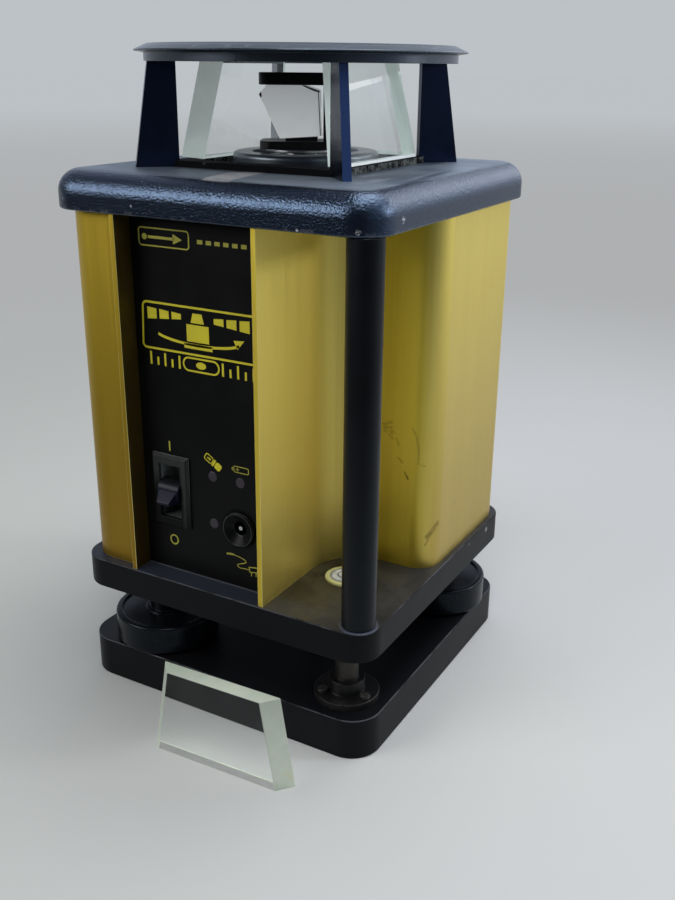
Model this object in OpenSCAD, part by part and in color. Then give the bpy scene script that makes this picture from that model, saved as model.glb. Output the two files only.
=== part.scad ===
// Rotary laser level: a spinning prism head on a square levelled body.
// Millimetres. Origin at the centre of the base plate's underside, +Z up,
// control panel facing -Y, handle rod at the corner +X -Y.

/* [Plates] */
// Side of the square base and chassis plates
plate_side = 203.2; // [200:0.1:206]
// Thickness of the base plate
base_t = 25.4; // [23:0.1:30]
// Corner radius of the base plate
base_r = 18.4; // [14:0.1:22]
// Height of the gap between the two plates
plate_gap = 37.9; // [37:0.1:42]
// Thickness of the chassis plate
chassis_t = 18.9; // [17.5:0.1:24]
// Corner radius of the chassis plate
chassis_r = 17.1; // [14:0.1:20]
// Rounding of the plates' edges
plate_edge = 0.9; // [0.5:0.1:1.5]

/* [Casing] */
// Height of the casing between the plate and the cover
case_h = 211.6; // [205:0.1:220]
// Half width of the casing across its side and rear faces
case_half = 98.2; // [95:0.1:99]
// Distance from the centre to the casing's front face
case_front = 95.5; // [94.5:0.1:96.5]
// Wall of the casing
case_wall = 2.8; // [2:0.1:3.2]
// Outer corner radius of the casing
case_r = 18; // [14:0.1:20]
// Left edge of the panel recess
recess_left = -56.4; // [-58:0.1:-55]
// Right edge of the panel recess
recess_right = 31.5; // [31:0.1:32.5]
// Thickness of the panel
panel_t = 3; // [2:0.1:4]
// Distance from the centre to the panel's front face
panel_front = 88; // [86:0.1:89]
// Thickness of the two fins beside the panel
fin_t = 3; // [2.4:0.1:3.4]
// Distance from the centre to the fins' front edges
fin_front = 100.8; // [98:0.1:101.4]
// Distance from the centre to the back wall of the handle notch
notch_back = 14.5; // [13:0.1:18]
// Outer radius of the hollow curve in the notch
notch_r = 31; // [28:0.1:33]
// Outer radius of the round corner behind the notch
notch_corner_r = 15; // [12:0.1:17]

/* [Cover and handle rod] */
// Side of the square cover
cover_side = 206; // [204.5:0.1:209]
// Height of the cover
cover_h = 21.2; // [20:0.1:25]
// Corner radius of the cover seen from above
cover_r = 19; // [17:0.1:22]
// Rounding of the cover's top edge
cover_edge = 12.5; // [10:0.1:14]
// Thickness of the cover's roof
roof_t = 6.2; // [6:0.1:7.5]
// Radius of the handle rod
rod_r = 9.525; // [8:0.005:11]
// Distance of the rod's axis in from the plates' sides
rod_in = 11; // [10.1:0.1:12]

/* [Levelling] */
// Distance of a knob's axis in from the plates' far side
knob_near_in = 43.6; // [42:0.1:45.6]
// Distance of a knob's axis in from the plates' near side
knob_far_in = 29.6; // [28:0.1:31]
// Radius of a levelling knob
knob_r = 32.5; // [28:0.1:34]
// Thickness of a levelling knob
knob_t = 18.1; // [15:0.1:20]
// Gap between the knobs and the base plate
knob_gap = 1; // [0.9:0.1:2]
// Radius of the levelling screws
screw_r = 4.76; // [4:0.01:5.5]
// Radius of a knob's hub
hub_r = 11; // [9:0.1:13]
// Distance of the pivot's axis in from the plates' sides
pivot_in = 25.6; // [24:0.1:27.6]
// Radius of the pivot ball
ball_r = 7; // [6:0.1:8]
// Radius of the pivot's flange
flange_r = 19; // [17:0.1:21]
// Radius of the threaded bore for the tripod screw
tripod_r = 6.85; // [6.5:0.01:7.2]
// Depth of the threaded bore for the tripod screw
tripod_depth = 18; // [14:0.1:20]

/* [Head] */
// Height of the head's fins
head_h = 55; // [53:0.1:60]
// Distance from the axis to a fin's inner edge
fin_inner = 70.8; // [70.2:0.1:73]
// Distance from the axis to a fin's foot
fin_foot = 95; // [92:0.1:98]
// Distance from the axis to a fin's outer edge under the cap
fin_top = 86; // [83:0.1:86.8]
// Thickness of a head fin
head_fin_t = 4.8; // [4.4:0.1:6.5]
// Half side of the window plinth
plinth_half = 54; // [52:0.1:56]
// Height of the window plinth
plinth_h = 3.5; // [3:0.1:4.5]
// Thickness of a window pane
pane_t = 9; // [7:0.1:9.6]
// Height of a window pane along its slope
pane_h = 54; // [51:0.1:55]
// Half width of a pane's outer face at its foot
pane_foot = 49.2; // [46:0.1:50]
// Half width of the loose front pane's outer face at its foot
front_foot = 46.8; // [44:0.1:49]
// Height of the loose front pane
front_h = 54.2; // [50:0.1:55]
// Lean of the window panes
pane_lean = 9.6; // [7:0.1:11]
// Radius of the cap's rim
cap_r = 92.5; // [90:0.1:96]
// Radius of the step below the cap's rim
cap_step_r = 87.2; // [87:0.1:89]
// Height of the step below the cap's rim
cap_step_h = 4.4; // [3:0.1:6]
// Height of the cap above its step
cap_rim_h = 4.6; // [3:0.1:6]

/* [Rotor] */
// Radius of the collar round the rotor
collar_r = 39.7; // [37:0.1:39.8]
// Height of the collar above the cover
collar_h = 7.5; // [7:0.1:9]
// Radius of the ball bearings
bearing_r = 18.5; // [17.5:0.1:20]
// Width of the ball bearings
bearing_w = 9; // [7:0.1:11]
// Outer radius of the hollow spindle
spindle_r = 10; // [9:0.1:10.6]
// Bore radius of the hollow spindle
beam_r = 7; // [5:0.1:7.5]
// Aperture of the pentaprism
prism_a = 24.1; // [22:0.1:24.4]
// Tilt of the pentaprism on its seat
prism_tilt = 3.5; // [0:0.1:4.5]
// Thickness of the rotor frame's plates
frame_t = 6.4; // [5:0.1:7]
// Thickness of the rotor frame's lower plate
frame_foot_t = 4.4; // [3.6:0.1:5]
// Depth of the rotor frame
frame_depth = 28; // [24:0.1:32]
// Height between the rotor frame's two plates
frame_gap = 29.9; // [28:0.1:31]
// Heading of the beam at rest, from +X towards +Y
beam_heading = 29.3; // [0:0.1:60]

/* [Panel fittings] */
// Middle of the switch across the panel
switch_x = -35.8; // [-38:0.1:-34]
// Middle height of the switch above the chassis plate
switch_up = 51.9; // [45:0.1:60]
// Width of the switch bezel
switch_w = 25.4; // [22:0.1:27]
// Height of the switch bezel
switch_h = 45.2; // [40:0.1:48]
// Middle of the charger socket across the panel
jack_x = 11.2; // [8:0.1:16]
// Height of the charger socket above the chassis plate
jack_up = 38.1; // [34:0.1:44]
// Radius of the charger socket's flange
jack_r = 11.3; // [9:0.1:13]
// Radius of the charger socket's opening
jack_bore_r = 4.2; // [3.5:0.1:5]
// Radius of the status lamps
lamp_r = 3.1; // [2.5:0.1:3.6]

/* [Inside] */
// Drop of the compensator's pivots below the cover
comp_drop = 66.3; // [64:0.1:71]
// Outer radius of the laser tube
tube_r = 15; // [13:0.1:16]
// Height of the laser tube's lower end above the chassis plate
tube_lift = 45.8; // [44:0.1:54]
// Space at each side of the battery pack
battery_gap = 29.2; // [24:0.1:39]
// Depth of the battery pack
battery_d = 40; // [34:0.1:42]
// Height of the battery pack
battery_h = 66; // [50:0.1:80]
// Distance from the spindle to the motor
motor_at = 58; // [54:0.1:62]
// Radius of the motor
motor_r = 14; // [12:0.1:16]
// Length of the motor
motor_len = 36; // [28:0.1:40]
// Distance of the tie rods in from the casing's faces
tie_in = 16; // [14:0.1:18]

/* [Hidden] */
$fn = 64;
// Clearance of a close fit, and of parts that only lie beside each other
fit = 0.05;
ease = 0.3;
chassis_z = base_t + plate_gap;
chassis_top = chassis_z + chassis_t;
cover_z = chassis_top + case_h;
cover_top = cover_z + cover_h;
roof_z = cover_top - roof_t;
cap_z = cover_top + head_h;
half = plate_side / 2;
rod_at = half - rod_in;
knob_near = half - knob_near_in;
knob_far = half - knob_far_in;
pivot_at = half - pivot_in;
tie_at = case_half - tie_in;
recess_y = -panel_front + panel_t;
notch_left = recess_right + fin_t;
web_y = recess_y + case_wall;
left_knob_at = [-knob_near, -knob_far];
right_knob_at = [knob_far, knob_near];
knob_places = [left_knob_at, right_knob_at];
pivot_xy = [pivot_at, -pivot_at];
ball_z = chassis_z + 4.2;
knob_z = base_t + knob_gap;
pad_h = 6;
pad_dome_r = 14;
pad_r = 8;
hub_top = chassis_z - ease - pad_h;
bush_r = 8;
tripod_bush_r = 12;
tripod_bush_h = tripod_depth + 3;
spring_at = [30, -30];
spring_r = 7;
spring_wire_r = 0.9;
anchor_disc_t = 1.6;
anchor_boss_r = spring_r - spring_wire_r - ease;
anchor_boss_h = 6;
tie_places = [[-tie_at, -tie_at + 1.5], [tie_at, tie_at], [-tie_at, tie_at]];
tie_r = 4;
nut_r = 7.5;
nut_h = 6;
stud_r = 3;
stud_head_r = 5.5;
stud_reach = 16;
bracket_w = 54;
bracket_margin = 3;
vial_at = [57, -45.5];
vial_r = 12;
vial_proud = 1.4;
vial_depth = 5;
vial_wall = 2.8;
vial_dome = 0.6;
vial_round = 60;
washer_r = 12;
washer_t = 0.8;
opening_w = switch_w - 10.4;
opening_h = switch_h - 12;
switch_z = chassis_top + switch_up;
bezel_proud = 2.8;
rocker_tilt = 25;
rocker_y = -panel_front + 1.5;
rocker_r = 7;
jack_z = chassis_top + jack_up;
jack_body_r = jack_bore_r + 1.8;
jack_proud = 2.5;
jack_depth = 15;
jack_dish = 3;
jack_pin_r = 1.25;
lamp_places = [[-6.6, 66.8], [12.4, 66.8], [-6.7, 37.4]];
board_gap = 20;
board_y = web_y + board_gap;
board_t = 1.6;
board_w = 74;
board_h = 96;
board_x = -11;
board_up = 20;
standoff_r = 2.5;
comp_z = cover_z - comp_drop;
ring_h = 8;
gimbal_in = tube_r + 6;
gimbal_out = gimbal_in + 6;
bracket_in = gimbal_out + 2.5;
bracket_out = bracket_in + 10.5;
pivot_pin_r = 1.5;
tube_wall = 2;
tube_above = 18.5;
tube_top = comp_z + tube_above;
tube_bottom = chassis_top + tube_lift;
tube_len = tube_top - tube_bottom;
module_len = 34;
lens_t = 6;
lens_round = 40;
lens_down = 9;
weight_h = 22;
damper_in = tube_r + 8;
damper_wall = 3;
damper_top = tube_bottom - weight_h + 6;
housing_r = bearing_r + 4.5;
upper_bearing_z = cover_top + collar_h - 2 - bearing_w;
lower_bearing_z = cover_z - 16;
housing_bottom = lower_bearing_z - 3;
collar_recess_r = 28.5;
pulley_h = 8;
pulley_gap = 4;
pulley_z = housing_bottom - pulley_gap - pulley_h;
pulley_r = 18;
motor_pulley_r = 6;
belt_t = 1.2;
belt_w = 4;
belt_seat = 0;
nut_thick = 4;
spindle_bottom = pulley_z - nut_thick;
bracket_z = pulley_z - 4;
bracket_t = 3;
motor_top = bracket_z;
mitre_gap = 0.15;
pane_lift = pane_t * sin(pane_lean) + fit;
pane_top_half = pane_foot - pane_h * sin(pane_lean);
groove_h = max(0.6, plinth_h + pane_lift + pane_h * cos(pane_lean) - head_h + fit);
groove_out = pane_top_half + groove_h * tan(pane_lean) + ease;
groove_in = pane_top_half - pane_t * cos(pane_lean) - ease;
rotor_z = cover_top + collar_h + 1.5;
frame_back = -23.7;
wall_in = prism_a / 2 + ease + 0.15;
frame_corner_r = 7;
seat_h = 1.4;
seat_half = 9;
spindle_flange_r = bearing_r + 3.1;
spindle_flange_t = 1;
frame_front = wall_in + frame_t;
prism_z = rotor_z + frame_foot_t + fit;
strap_w = 24;
strap_t = 1.5;
battery_w = 2 * (case_half - case_wall - battery_gap);
battery_back = 6.7;
battery_y = case_half - case_wall - battery_back - battery_d;
cap_screw_r = 1.5;
cap_screw_at = (fin_inner + fin_top) / 2;
loose_pane_x = 30.5;
loose_pane_y = -140.8;
loose_pane_turn = 1.8;

BLACK = [0.09, 0.09, 0.11];
NAVY = [0.10, 0.12, 0.20];
GOLD = [0.66, 0.58, 0.24];
STEEL = [0.70, 0.71, 0.73];
BRASS = [0.72, 0.58, 0.30];
GLASS = [0.74, 0.82, 0.78, 0.45];
GREEN = [0.12, 0.36, 0.22];
GREY = [0.45, 0.46, 0.48];

// Shared outlines

module rounded_square(side, r) {
    square([side, side - 2 * r], center = true);
    square([side - 2 * r, side], center = true);
    for (x = [-1, 1], y = [-1, 1])
        translate([x, y] * (side / 2 - r)) circle(r);
}

// Cross-section of a plate's rim, w wide and h high, with round outer edges
module rim_profile(w, h, top, bottom) {
    difference() {
        square([w, h]);
        translate([w - top, h - top]) difference() {
            square(top + 1);
            circle(top);
        }
        translate([w - bottom, bottom]) mirror([0, 1]) difference() {
            square(bottom + 1);
            circle(bottom);
        }
    }
}

// Square plate with round corners and round top and bottom edges
module soft_plate(side, r, h, top, bottom) {
    inner = side - 2 * r;
    translate([-inner / 2, -inner / 2, 0]) cube([inner, inner, h]);
    for (k = [0:3]) rotate([0, 0, 90 * k]) {
        translate([inner / 2, inner / 2, 0]) rotate([90, 0, 0])
            linear_extrude(inner) rim_profile(r, h, top, bottom);
        translate([inner / 2, inner / 2, 0]) rotate_extrude()
            rim_profile(r, h, top, bottom);
    }
}

// Plan of the casing, set in by d from its outer faces
module casing_plan(d) {
    r = case_r - d;
    c = case_half - case_r;
    front = -case_front + case_r;
    notch_c = [notch_left + notch_r, -notch_back - notch_r];
    bend_c = [case_half - notch_corner_r, -notch_back + notch_corner_r];
    difference() {
        union() {
            translate([-case_half + d, front])
                square([2 * case_half - 2 * d, c - front]);
            translate([-c, -case_front + d])
                square([2 * c, case_front + case_half - 2 * d]);
            for (x = [-c, c], y = [front, c]) translate([x, y]) circle(r);
        }
        translate([recess_left - d, -case_front - 1])
            square([recess_right - recess_left + 2 * d, case_front + 1 + recess_y + d]);
        translate([notch_left - d, -case_front - 1])
            square([case_half, case_front + 1 + notch_c[1]]);
        translate([notch_c[0], -case_front - 1])
            square([case_half, case_front + 1 - notch_back + d]);
        translate(notch_c) circle(notch_r + d);
        difference() {
            translate([bend_c[0], -notch_back]) square([case_half, notch_corner_r]);
            translate(bend_c) circle(notch_corner_r - d);
        }
    }
}

module ring(r_out, r_in, h) {
    difference() {
        cylinder(r = r_out, h = h);
        translate([0, 0, -1]) cylinder(r = r_in, h = h + 2);
    }
}

// Cylinder along +X from the origin
module rod_x(r, len) {
    rotate([0, 90, 0]) cylinder(r = r, h = len);
}

// Base

module base_plate() {
    color(BLACK) difference() {
        soft_plate(plate_side, base_r, base_t, plate_edge, plate_edge);
        translate([0, 0, -1]) cylinder(r = tripod_bush_r + fit, h = tripod_bush_h + 1);
        for (p = knob_places) translate([p[0], p[1], -1])
            cylinder(r = bush_r + fit, h = base_t + 2);
    }
}

module tripod_bush() {
    color(BRASS) difference() {
        cylinder(r = tripod_bush_r, h = tripod_bush_h);
        translate([0, 0, -1]) cylinder(r = tripod_r, h = tripod_depth + 1);
    }
}

module levelling_bushes() {
    color(BRASS) for (p = knob_places) translate([p[0], p[1], 0.5])
        ring(bush_r, screw_r + fit, base_t - 0.5);
}

module pivot_post() {
    boss_h = 8;
    post_r = ball_r - 0.2;
    color(BRASS) translate([pivot_xy[0], pivot_xy[1], base_t]) difference() {
        union() {
            cylinder(r = flange_r, h = 4);
            cylinder(r = 10.5, h = 4 + boss_h);
            cylinder(r = post_r, h = ball_z - 3.5 - base_t);
        }
        translate([0, 0, ball_z - base_t]) sphere(ball_r + fit);
        for (a = [-15, 105, 225]) rotate([0, 0, a]) translate([14.6, 0, -1])
            cylinder(r = 1.6, h = 6);
    }
}

module pivot_screws() {
    color(STEEL) translate([pivot_xy[0], pivot_xy[1], base_t + 4])
        for (a = [-15, 105, 225]) rotate([0, 0, a]) translate([14.6, 0, 0]) {
            translate([0, 0, -4]) cylinder(r = 1.5, h = 4);
            difference() {
                cylinder(r = 2.9, h = 1.9);
                translate([-3, -0.4, 1.2]) cube([6, 0.8, 1]);
            }
        }
}

module spring_anchor() {
    cylinder(r = spring_r + 2, h = anchor_disc_t);
    cylinder(r = anchor_boss_r, h = anchor_disc_t + anchor_boss_h);
}

module lower_spring_anchor() {
    color(STEEL) translate([spring_at[0], spring_at[1], base_t]) spring_anchor();
}

module upper_spring_anchor() {
    color(STEEL) translate([spring_at[0], spring_at[1], chassis_z]) mirror([0, 0, 1])
        spring_anchor();
}

// Tube of six sides swept along a helix that rises by rise over the turns
module helix_tube(radius, wire, rise, turns, rings) {
    count = turns * rings;
    slope = atan(rise / (turns * 360 * PI / 180 * radius));
    points = [for (i = [0:count], s = [0:5])
        let (a = 360 * i / rings, b = 60 * s,
             out = radius + wire * cos(b), up = wire * sin(b))
        [out * cos(a) + up * sin(slope) * sin(a),
         out * sin(a) - up * sin(slope) * cos(a),
         rise * i / count + up * cos(slope)]];
    sides = [for (i = [0:count - 1], s = [0:5], k = [0, 1])
        let (p = 6 * i + s, q = 6 * i + (s + 1) % 6)
        k == 0 ? [p, q, q + 6] : [p, q + 6, p + 6]];
    ends = [[5, 4, 3, 2, 1, 0], [for (s = [0:5]) 6 * count + s]];
    polyhedron(points, concat(sides, ends));
}

module hold_down_spring() {
    low = base_t + anchor_disc_t + spring_wire_r + fit;
    rise = plate_gap - 2 * (anchor_disc_t + spring_wire_r + fit);
    color(STEEL) translate([spring_at[0], spring_at[1], low])
        helix_tube(spring_r, spring_wire_r, rise, 11, 12);
}

// Window pane standing on its foot: inner face at -Y, outer face wider and at +Y
module pane(foot, height, mitre) {
    w = [foot, foot - height * sin(pane_lean)];
    z = [0, height];
    points = [for (k = [0, 1]) each [
        [-w[k] + mitre, 0, z[k]], [w[k] - mitre, 0, z[k]],
        [w[k], pane_t, z[k]], [-w[k], pane_t, z[k]]]];
    polyhedron(points, [[0, 1, 2, 3], [7, 6, 5, 4], [0, 4, 5, 1],
        [1, 5, 6, 2], [2, 6, 7, 3], [3, 7, 4, 0]]);
}

module loose_window() {
    color(GLASS) translate([loose_pane_x, loose_pane_y, 0])
        rotate([0, 0, loose_pane_turn]) translate([0, -pane_t / 2, 0])
            pane(front_foot, front_h, pane_t - 1.4);
}

// Levelling

module pivot_ball() {
    color(STEEL) translate([pivot_xy[0], pivot_xy[1], ball_z]) sphere(ball_r);
}

module knob() {
    round_r = 1.6;
    dish = 1.2;
    rotate_extrude() difference() {
        union() {
            rim_profile(knob_r, knob_t, round_r, round_r);
            square([hub_r, hub_top - knob_z]);
        }
        translate([hub_r + 2.5, knob_t - dish]) square([knob_r - hub_r - 6.5, dish + 1]);
        translate([-1, -1]) square([screw_r + fit + 1, hub_top - knob_z + 2]);
    }
}

module left_knob() {
    color(BLACK) translate([left_knob_at[0], left_knob_at[1], knob_z]) knob();
}

module right_knob() {
    color(BLACK) translate([right_knob_at[0], right_knob_at[1], knob_z]) knob();
}

module levelling_screw() {
    foot = 3;
    translate([0, 0, foot]) cylinder(r = screw_r, h = hub_top - foot);
}

module left_screw() {
    color(STEEL) translate([left_knob_at[0], left_knob_at[1], 0]) levelling_screw();
}

module right_screw() {
    color(STEEL) translate([right_knob_at[0], right_knob_at[1], 0]) levelling_screw();
}

// Domed thrust pad between a knob's hub and the chassis plate
module pad() {
    translate([0, 0, hub_top + ease / 2]) intersection() {
        cylinder(r = pad_r, h = pad_h);
        translate([0, 0, pad_h - pad_dome_r]) sphere(pad_dome_r);
    }
}

module left_pad() {
    color(STEEL) translate([left_knob_at[0], left_knob_at[1], 0]) pad();
}

module right_pad() {
    color(STEEL) translate([right_knob_at[0], right_knob_at[1], 0]) pad();
}

// Chassis

module chassis_plate() {
    color(BLACK) difference() {
        translate([0, 0, chassis_z])
            soft_plate(plate_side, chassis_r, chassis_t, plate_edge, plate_edge);
        translate([pivot_xy[0], pivot_xy[1], chassis_z - 1]) {
            cylinder(r = ball_r + 1.8, h = ball_z - chassis_z + 1);
            translate([0, 0, ball_z - chassis_z + 1]) sphere(ball_r + fit);
        }
        for (p = tie_places) translate([p[0], p[1], chassis_z - 1]) {
            cylinder(r = nut_r + 1.5, h = nut_h + 1.5);
            cylinder(r = tie_r + fit, h = chassis_t + 2);
        }
        translate([rod_at, -rod_at, chassis_z - 1]) {
            cylinder(r = 6.4, h = 7);
            cylinder(r = stud_r + fit, h = chassis_t + 2);
        }
        translate([vial_at[0], vial_at[1], chassis_top - vial_depth])
            cylinder(r = vial_r + fit, h = vial_depth + 1);
    }
}

module casing() {
    fin_back = panel_front - panel_t;
    lamp_y = [-panel_front, web_y];
    color(GOLD) difference() {
        translate([0, 0, chassis_top]) linear_extrude(case_h) union() {
            difference() {
                casing_plan(0);
                casing_plan(case_wall);
            }
            translate([recess_left - fin_t, -fin_front])
                square([fin_t, fin_front - fin_back + case_wall]);
            translate([recess_right, -fin_front])
                square([fin_t, fin_front - fin_back + case_wall]);
        }
        panel_holes();
    }
}

// Cut-outs for the switch, socket and lamps through the panel and the casing's web
module panel_holes() {
    depth = panel_t + case_wall + 2;
    switch_hole = [switch_w - 5 + 2 * fit, depth, switch_h - 6 + 2 * fit];
    translate([switch_x - switch_hole[0] / 2, -panel_front - 1, switch_z - switch_hole[2] / 2])
        cube(switch_hole);
    translate([jack_x, -panel_front - 1, jack_z]) rotate([-90, 0, 0])
        cylinder(r = jack_body_r + fit, h = depth);
    for (p = lamp_places) translate([p[0], -panel_front - 1, chassis_top + p[1]])
        rotate([-90, 0, 0]) cylinder(r = lamp_r + fit, h = depth);
}

module control_panel() {
    color(BLACK) difference() {
        translate([recess_left + fit, -panel_front, chassis_top + fit])
            cube([recess_right - recess_left - 2 * fit, panel_t, case_h - 2 * fit]);
        panel_holes();
    }
}

module top_cover() {
    color(NAVY) difference() {
        translate([0, 0, cover_z])
            soft_plate(cover_side, cover_r, cover_h, cover_edge, 1.5);
        translate([0, 0, cover_z - 1]) linear_extrude(roof_z - cover_z + 1)
            casing_plan(case_wall);
        translate([0, 0, roof_z - 1]) cylinder(r = housing_r + fit, h = roof_t + 2);
        for (p = tie_places) translate([p[0], p[1], roof_z - 1])
            cylinder(r = tie_r + fit, h = 4.5);
        translate([rod_at, -rod_at, cover_z - 1]) cylinder(r = stud_r + fit, h = 9);
    }
}

module handle_rod() {
    color(BLACK) translate([rod_at, -rod_at, chassis_top + washer_t]) difference() {
        cylinder(r = rod_r, h = case_h - washer_t);
        translate([0, 0, -1]) cylinder(r = stud_r + fit, h = 21);
        translate([0, 0, case_h - washer_t - 20]) cylinder(r = stud_r + fit, h = 21);
    }
}

module rod_washer() {
    color(STEEL) translate([rod_at, -rod_at, chassis_top]) ring(washer_r - 1.2, stud_r + fit, washer_t);
}

module rod_studs() {
    color(STEEL) translate([rod_at, -rod_at, 0]) {
        translate([0, 0, chassis_z + 1]) cylinder(r = stud_head_r, h = 5);
        translate([0, 0, chassis_z + 6]) cylinder(r = stud_r, h = chassis_t - 6 + stud_reach);
        translate([0, 0, cover_z - stud_reach]) cylinder(r = stud_r, h = stud_reach + 7);
    }
}

module tie_rods() {
    color(STEEL) for (p = tie_places) translate([p[0], p[1], chassis_z + 0.6])
        cylinder(r = tie_r, h = roof_z + 3 - chassis_z - 0.6);
}

module tie_nuts() {
    color(STEEL) for (p = tie_places) translate([p[0], p[1], chassis_z + 0.5]) difference() {
        cylinder(r = nut_r, h = nut_h, $fn = 6);
        translate([0, 0, -1]) cylinder(r = tie_r + fit, h = nut_h + 2);
    }
}

module vial_body() {
    color([0.80, 0.82, 0.45]) translate([vial_at[0], vial_at[1], chassis_top - vial_depth])
        difference() {
            rotate_extrude() rim_profile(vial_r, vial_depth + vial_proud, 0.8, 0.4);
            translate([0, 0, 1.5]) cylinder(r = vial_r - vial_wall, h = vial_depth + vial_proud);
        }
}

module vial_capsule() {
    r = vial_r - vial_wall - fit;
    h = vial_depth + vial_proud - 1.5;
    color(STEEL) translate([vial_at[0], vial_at[1], chassis_top - vial_depth + 1.5])
        intersection() {
            cylinder(r = r, h = h + vial_dome);
            translate([0, 0, h + vial_dome - vial_round]) sphere(vial_round);
        }
}

// Panel fittings

module switch_housing() {
    body = [switch_w - 5, 19 + bezel_proud, switch_h - 6];
    cavity_d = 14 + bezel_proud;
    color(BLACK) translate([switch_x, -panel_front, switch_z]) difference() {
        union() {
            rotate([90, 0, 0]) linear_extrude(bezel_proud - 1)
                square([switch_w, switch_h], center = true);
            rotate([90, 0, 0]) linear_extrude(bezel_proud)
                square([switch_w - 2, switch_h - 2], center = true);
            translate([-body[0] / 2, -bezel_proud, -body[2] / 2]) cube(body);
        }
        translate([-opening_w / 2, -bezel_proud - 1, -opening_h / 2])
            cube([opening_w, cavity_d, opening_h]);
    }
}

// Barrel on a cross axis with a flat tapered paddle, pushed down at rest
module switch_rocker() {
    w = opening_w - 2 * ease;
    reach = 12;
    tip = 1.4;
    color(BLACK) translate([switch_x, rocker_y, switch_z]) rotate([rocker_tilt, 0, 0]) {
        rotate([0, 90, 0]) translate([0, 0, -w / 2]) cylinder(r = rocker_r, h = w);
        intersection() {
            rotate([0, 90, 0]) translate([0, 0, -w / 2]) linear_extrude(w)
                polygon([[-5.2, -3], [5.2, -3], [tip, -reach], [tip - 0.6, -reach - 0.6],
                    [0.6 - tip, -reach - 0.6], [-tip, -reach]]);
            translate([0, 0, -10]) linear_extrude(20)
                polygon([[-6.4, -5], [-4.1, -reach - 1], [4.1, -reach - 1], [6.4, -5],
                    [6.4, 0], [-6.4, 0]]);
        }
    }
}

module charger_socket() {
    color(BLACK) translate([jack_x, -panel_front, jack_z]) rotate([90, 0, 0]) difference() {
        union() {
            rotate_extrude() rim_profile(jack_r, jack_proud, 1.8, 0.1);
            translate([0, 0, -jack_depth]) cylinder(r = jack_body_r, h = jack_depth);
        }
        translate([0, 0, -11]) cylinder(r = jack_bore_r, h = 20);
        translate([0, 0, jack_proud - jack_dish]) cylinder(r1 = jack_bore_r, r2 = jack_r - 1.6,
            h = jack_dish + 0.01);
    }
}

module charger_pin() {
    color(STEEL) translate([jack_x, -panel_front, jack_z]) rotate([90, 0, 0])
        translate([0, 0, -11]) cylinder(r = jack_pin_r, h = 10);
}

module status_lamps() {
    color([0.20, 0.17, 0.17]) for (p = lamp_places)
        translate([p[0], -panel_front - 0.2, chassis_top + p[1]]) rotate([-90, 0, 0])
            cylinder(r = lamp_r, h = panel_t + case_wall + 1);
}

module circuit_board() {
    color(GREEN) translate([board_x - board_w / 2, board_y, chassis_top + board_up])
        cube([board_w, board_t, board_h]);
}

module board_standoffs() {
    inset = 4;
    color(STEEL) for (x = [-1, 1], z = [inset, board_h - inset])
        translate([board_x + x * (board_w / 2 - inset), web_y, chassis_top + board_up + z])
            rotate([-90, 0, 0]) cylinder(r = standoff_r, h = board_y - web_y);
}

module battery_pack() {
    color(GREY) translate([-battery_w / 2, battery_y, chassis_top])
        cube([battery_w, battery_d, battery_h]);
}

module battery_strap() {
    foot = 10;
    h = battery_h + strap_t;
    color(STEEL) translate([-strap_w / 2, battery_y, chassis_top]) {
        translate([0, -strap_t, 0]) cube([strap_w, strap_t, h]);
        translate([0, battery_d, 0]) cube([strap_w, strap_t, h]);
        translate([0, -strap_t, battery_h]) cube([strap_w, battery_d + 2 * strap_t, strap_t]);
        translate([0, -strap_t - foot / 2, 0]) cube([strap_w, foot / 2, strap_t]);
    }
}

// Drive

module bearing_housing() {
    tube_h = cover_top - housing_bottom;
    color(NAVY) difference() {
        union() {
            translate([0, 0, housing_bottom]) cylinder(r = housing_r, h = tube_h + 1);
            translate([0, 0, cover_top]) rotate_extrude()
                rim_profile(collar_r, collar_h, 2.6, 0.2);
        }
        translate([0, 0, housing_bottom - 1])
            cylinder(r = bearing_r - 4, h = tube_h + collar_h + 2);
        translate([0, 0, lower_bearing_z]) cylinder(r = bearing_r + fit, h = bearing_w + fit);
        translate([0, 0, upper_bearing_z]) cylinder(r = bearing_r + fit, h = bearing_w + 10);
        translate([0, 0, cover_top + collar_h - 4]) cylinder(r = collar_recess_r, h = 5);
    }
}

module bearing() {
    groove = 0.7;
    rotate_extrude() difference() {
        translate([spindle_r + fit, 0]) square([bearing_r - spindle_r - fit, bearing_w]);
        for (y = [-1, bearing_w - groove])
            translate([spindle_r + 2.5, y]) square([bearing_r - spindle_r - 5, groove + 1]);
    }
}

module upper_bearing() {
    color(STEEL) translate([0, 0, upper_bearing_z]) bearing();
}

module lower_bearing() {
    color(STEEL) translate([0, 0, lower_bearing_z]) bearing();
}

module spindle() {
    collar_z = upper_bearing_z + bearing_w + fit;
    color(STEEL) difference() {
        union() {
            translate([0, 0, spindle_bottom])
                cylinder(r = spindle_r, h = rotor_z - spindle_bottom);
            translate([0, 0, collar_z]) cylinder(r = spindle_r + 2.2, h = rotor_z - collar_z);
            translate([0, 0, rotor_z - spindle_flange_t])
                cylinder(r = spindle_flange_r, h = spindle_flange_t);
        }
        translate([0, 0, spindle_bottom - 1])
            cylinder(r = beam_r, h = rotor_z - spindle_bottom + 2);
    }
}

// Grooved pulley with a bore
module pulley(r, bore) {
    rotate_extrude() difference() {
        translate([bore, 0]) square([r + 1.5 - bore, pulley_h]);
        translate([r, pulley_h / 2 - belt_w / 2 - ease]) square([5, belt_w + 2 * ease]);
    }
}

module spindle_pulley() {
    color(GREY) translate([0, 0, pulley_z]) pulley(pulley_r, spindle_r + fit);
}

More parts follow.
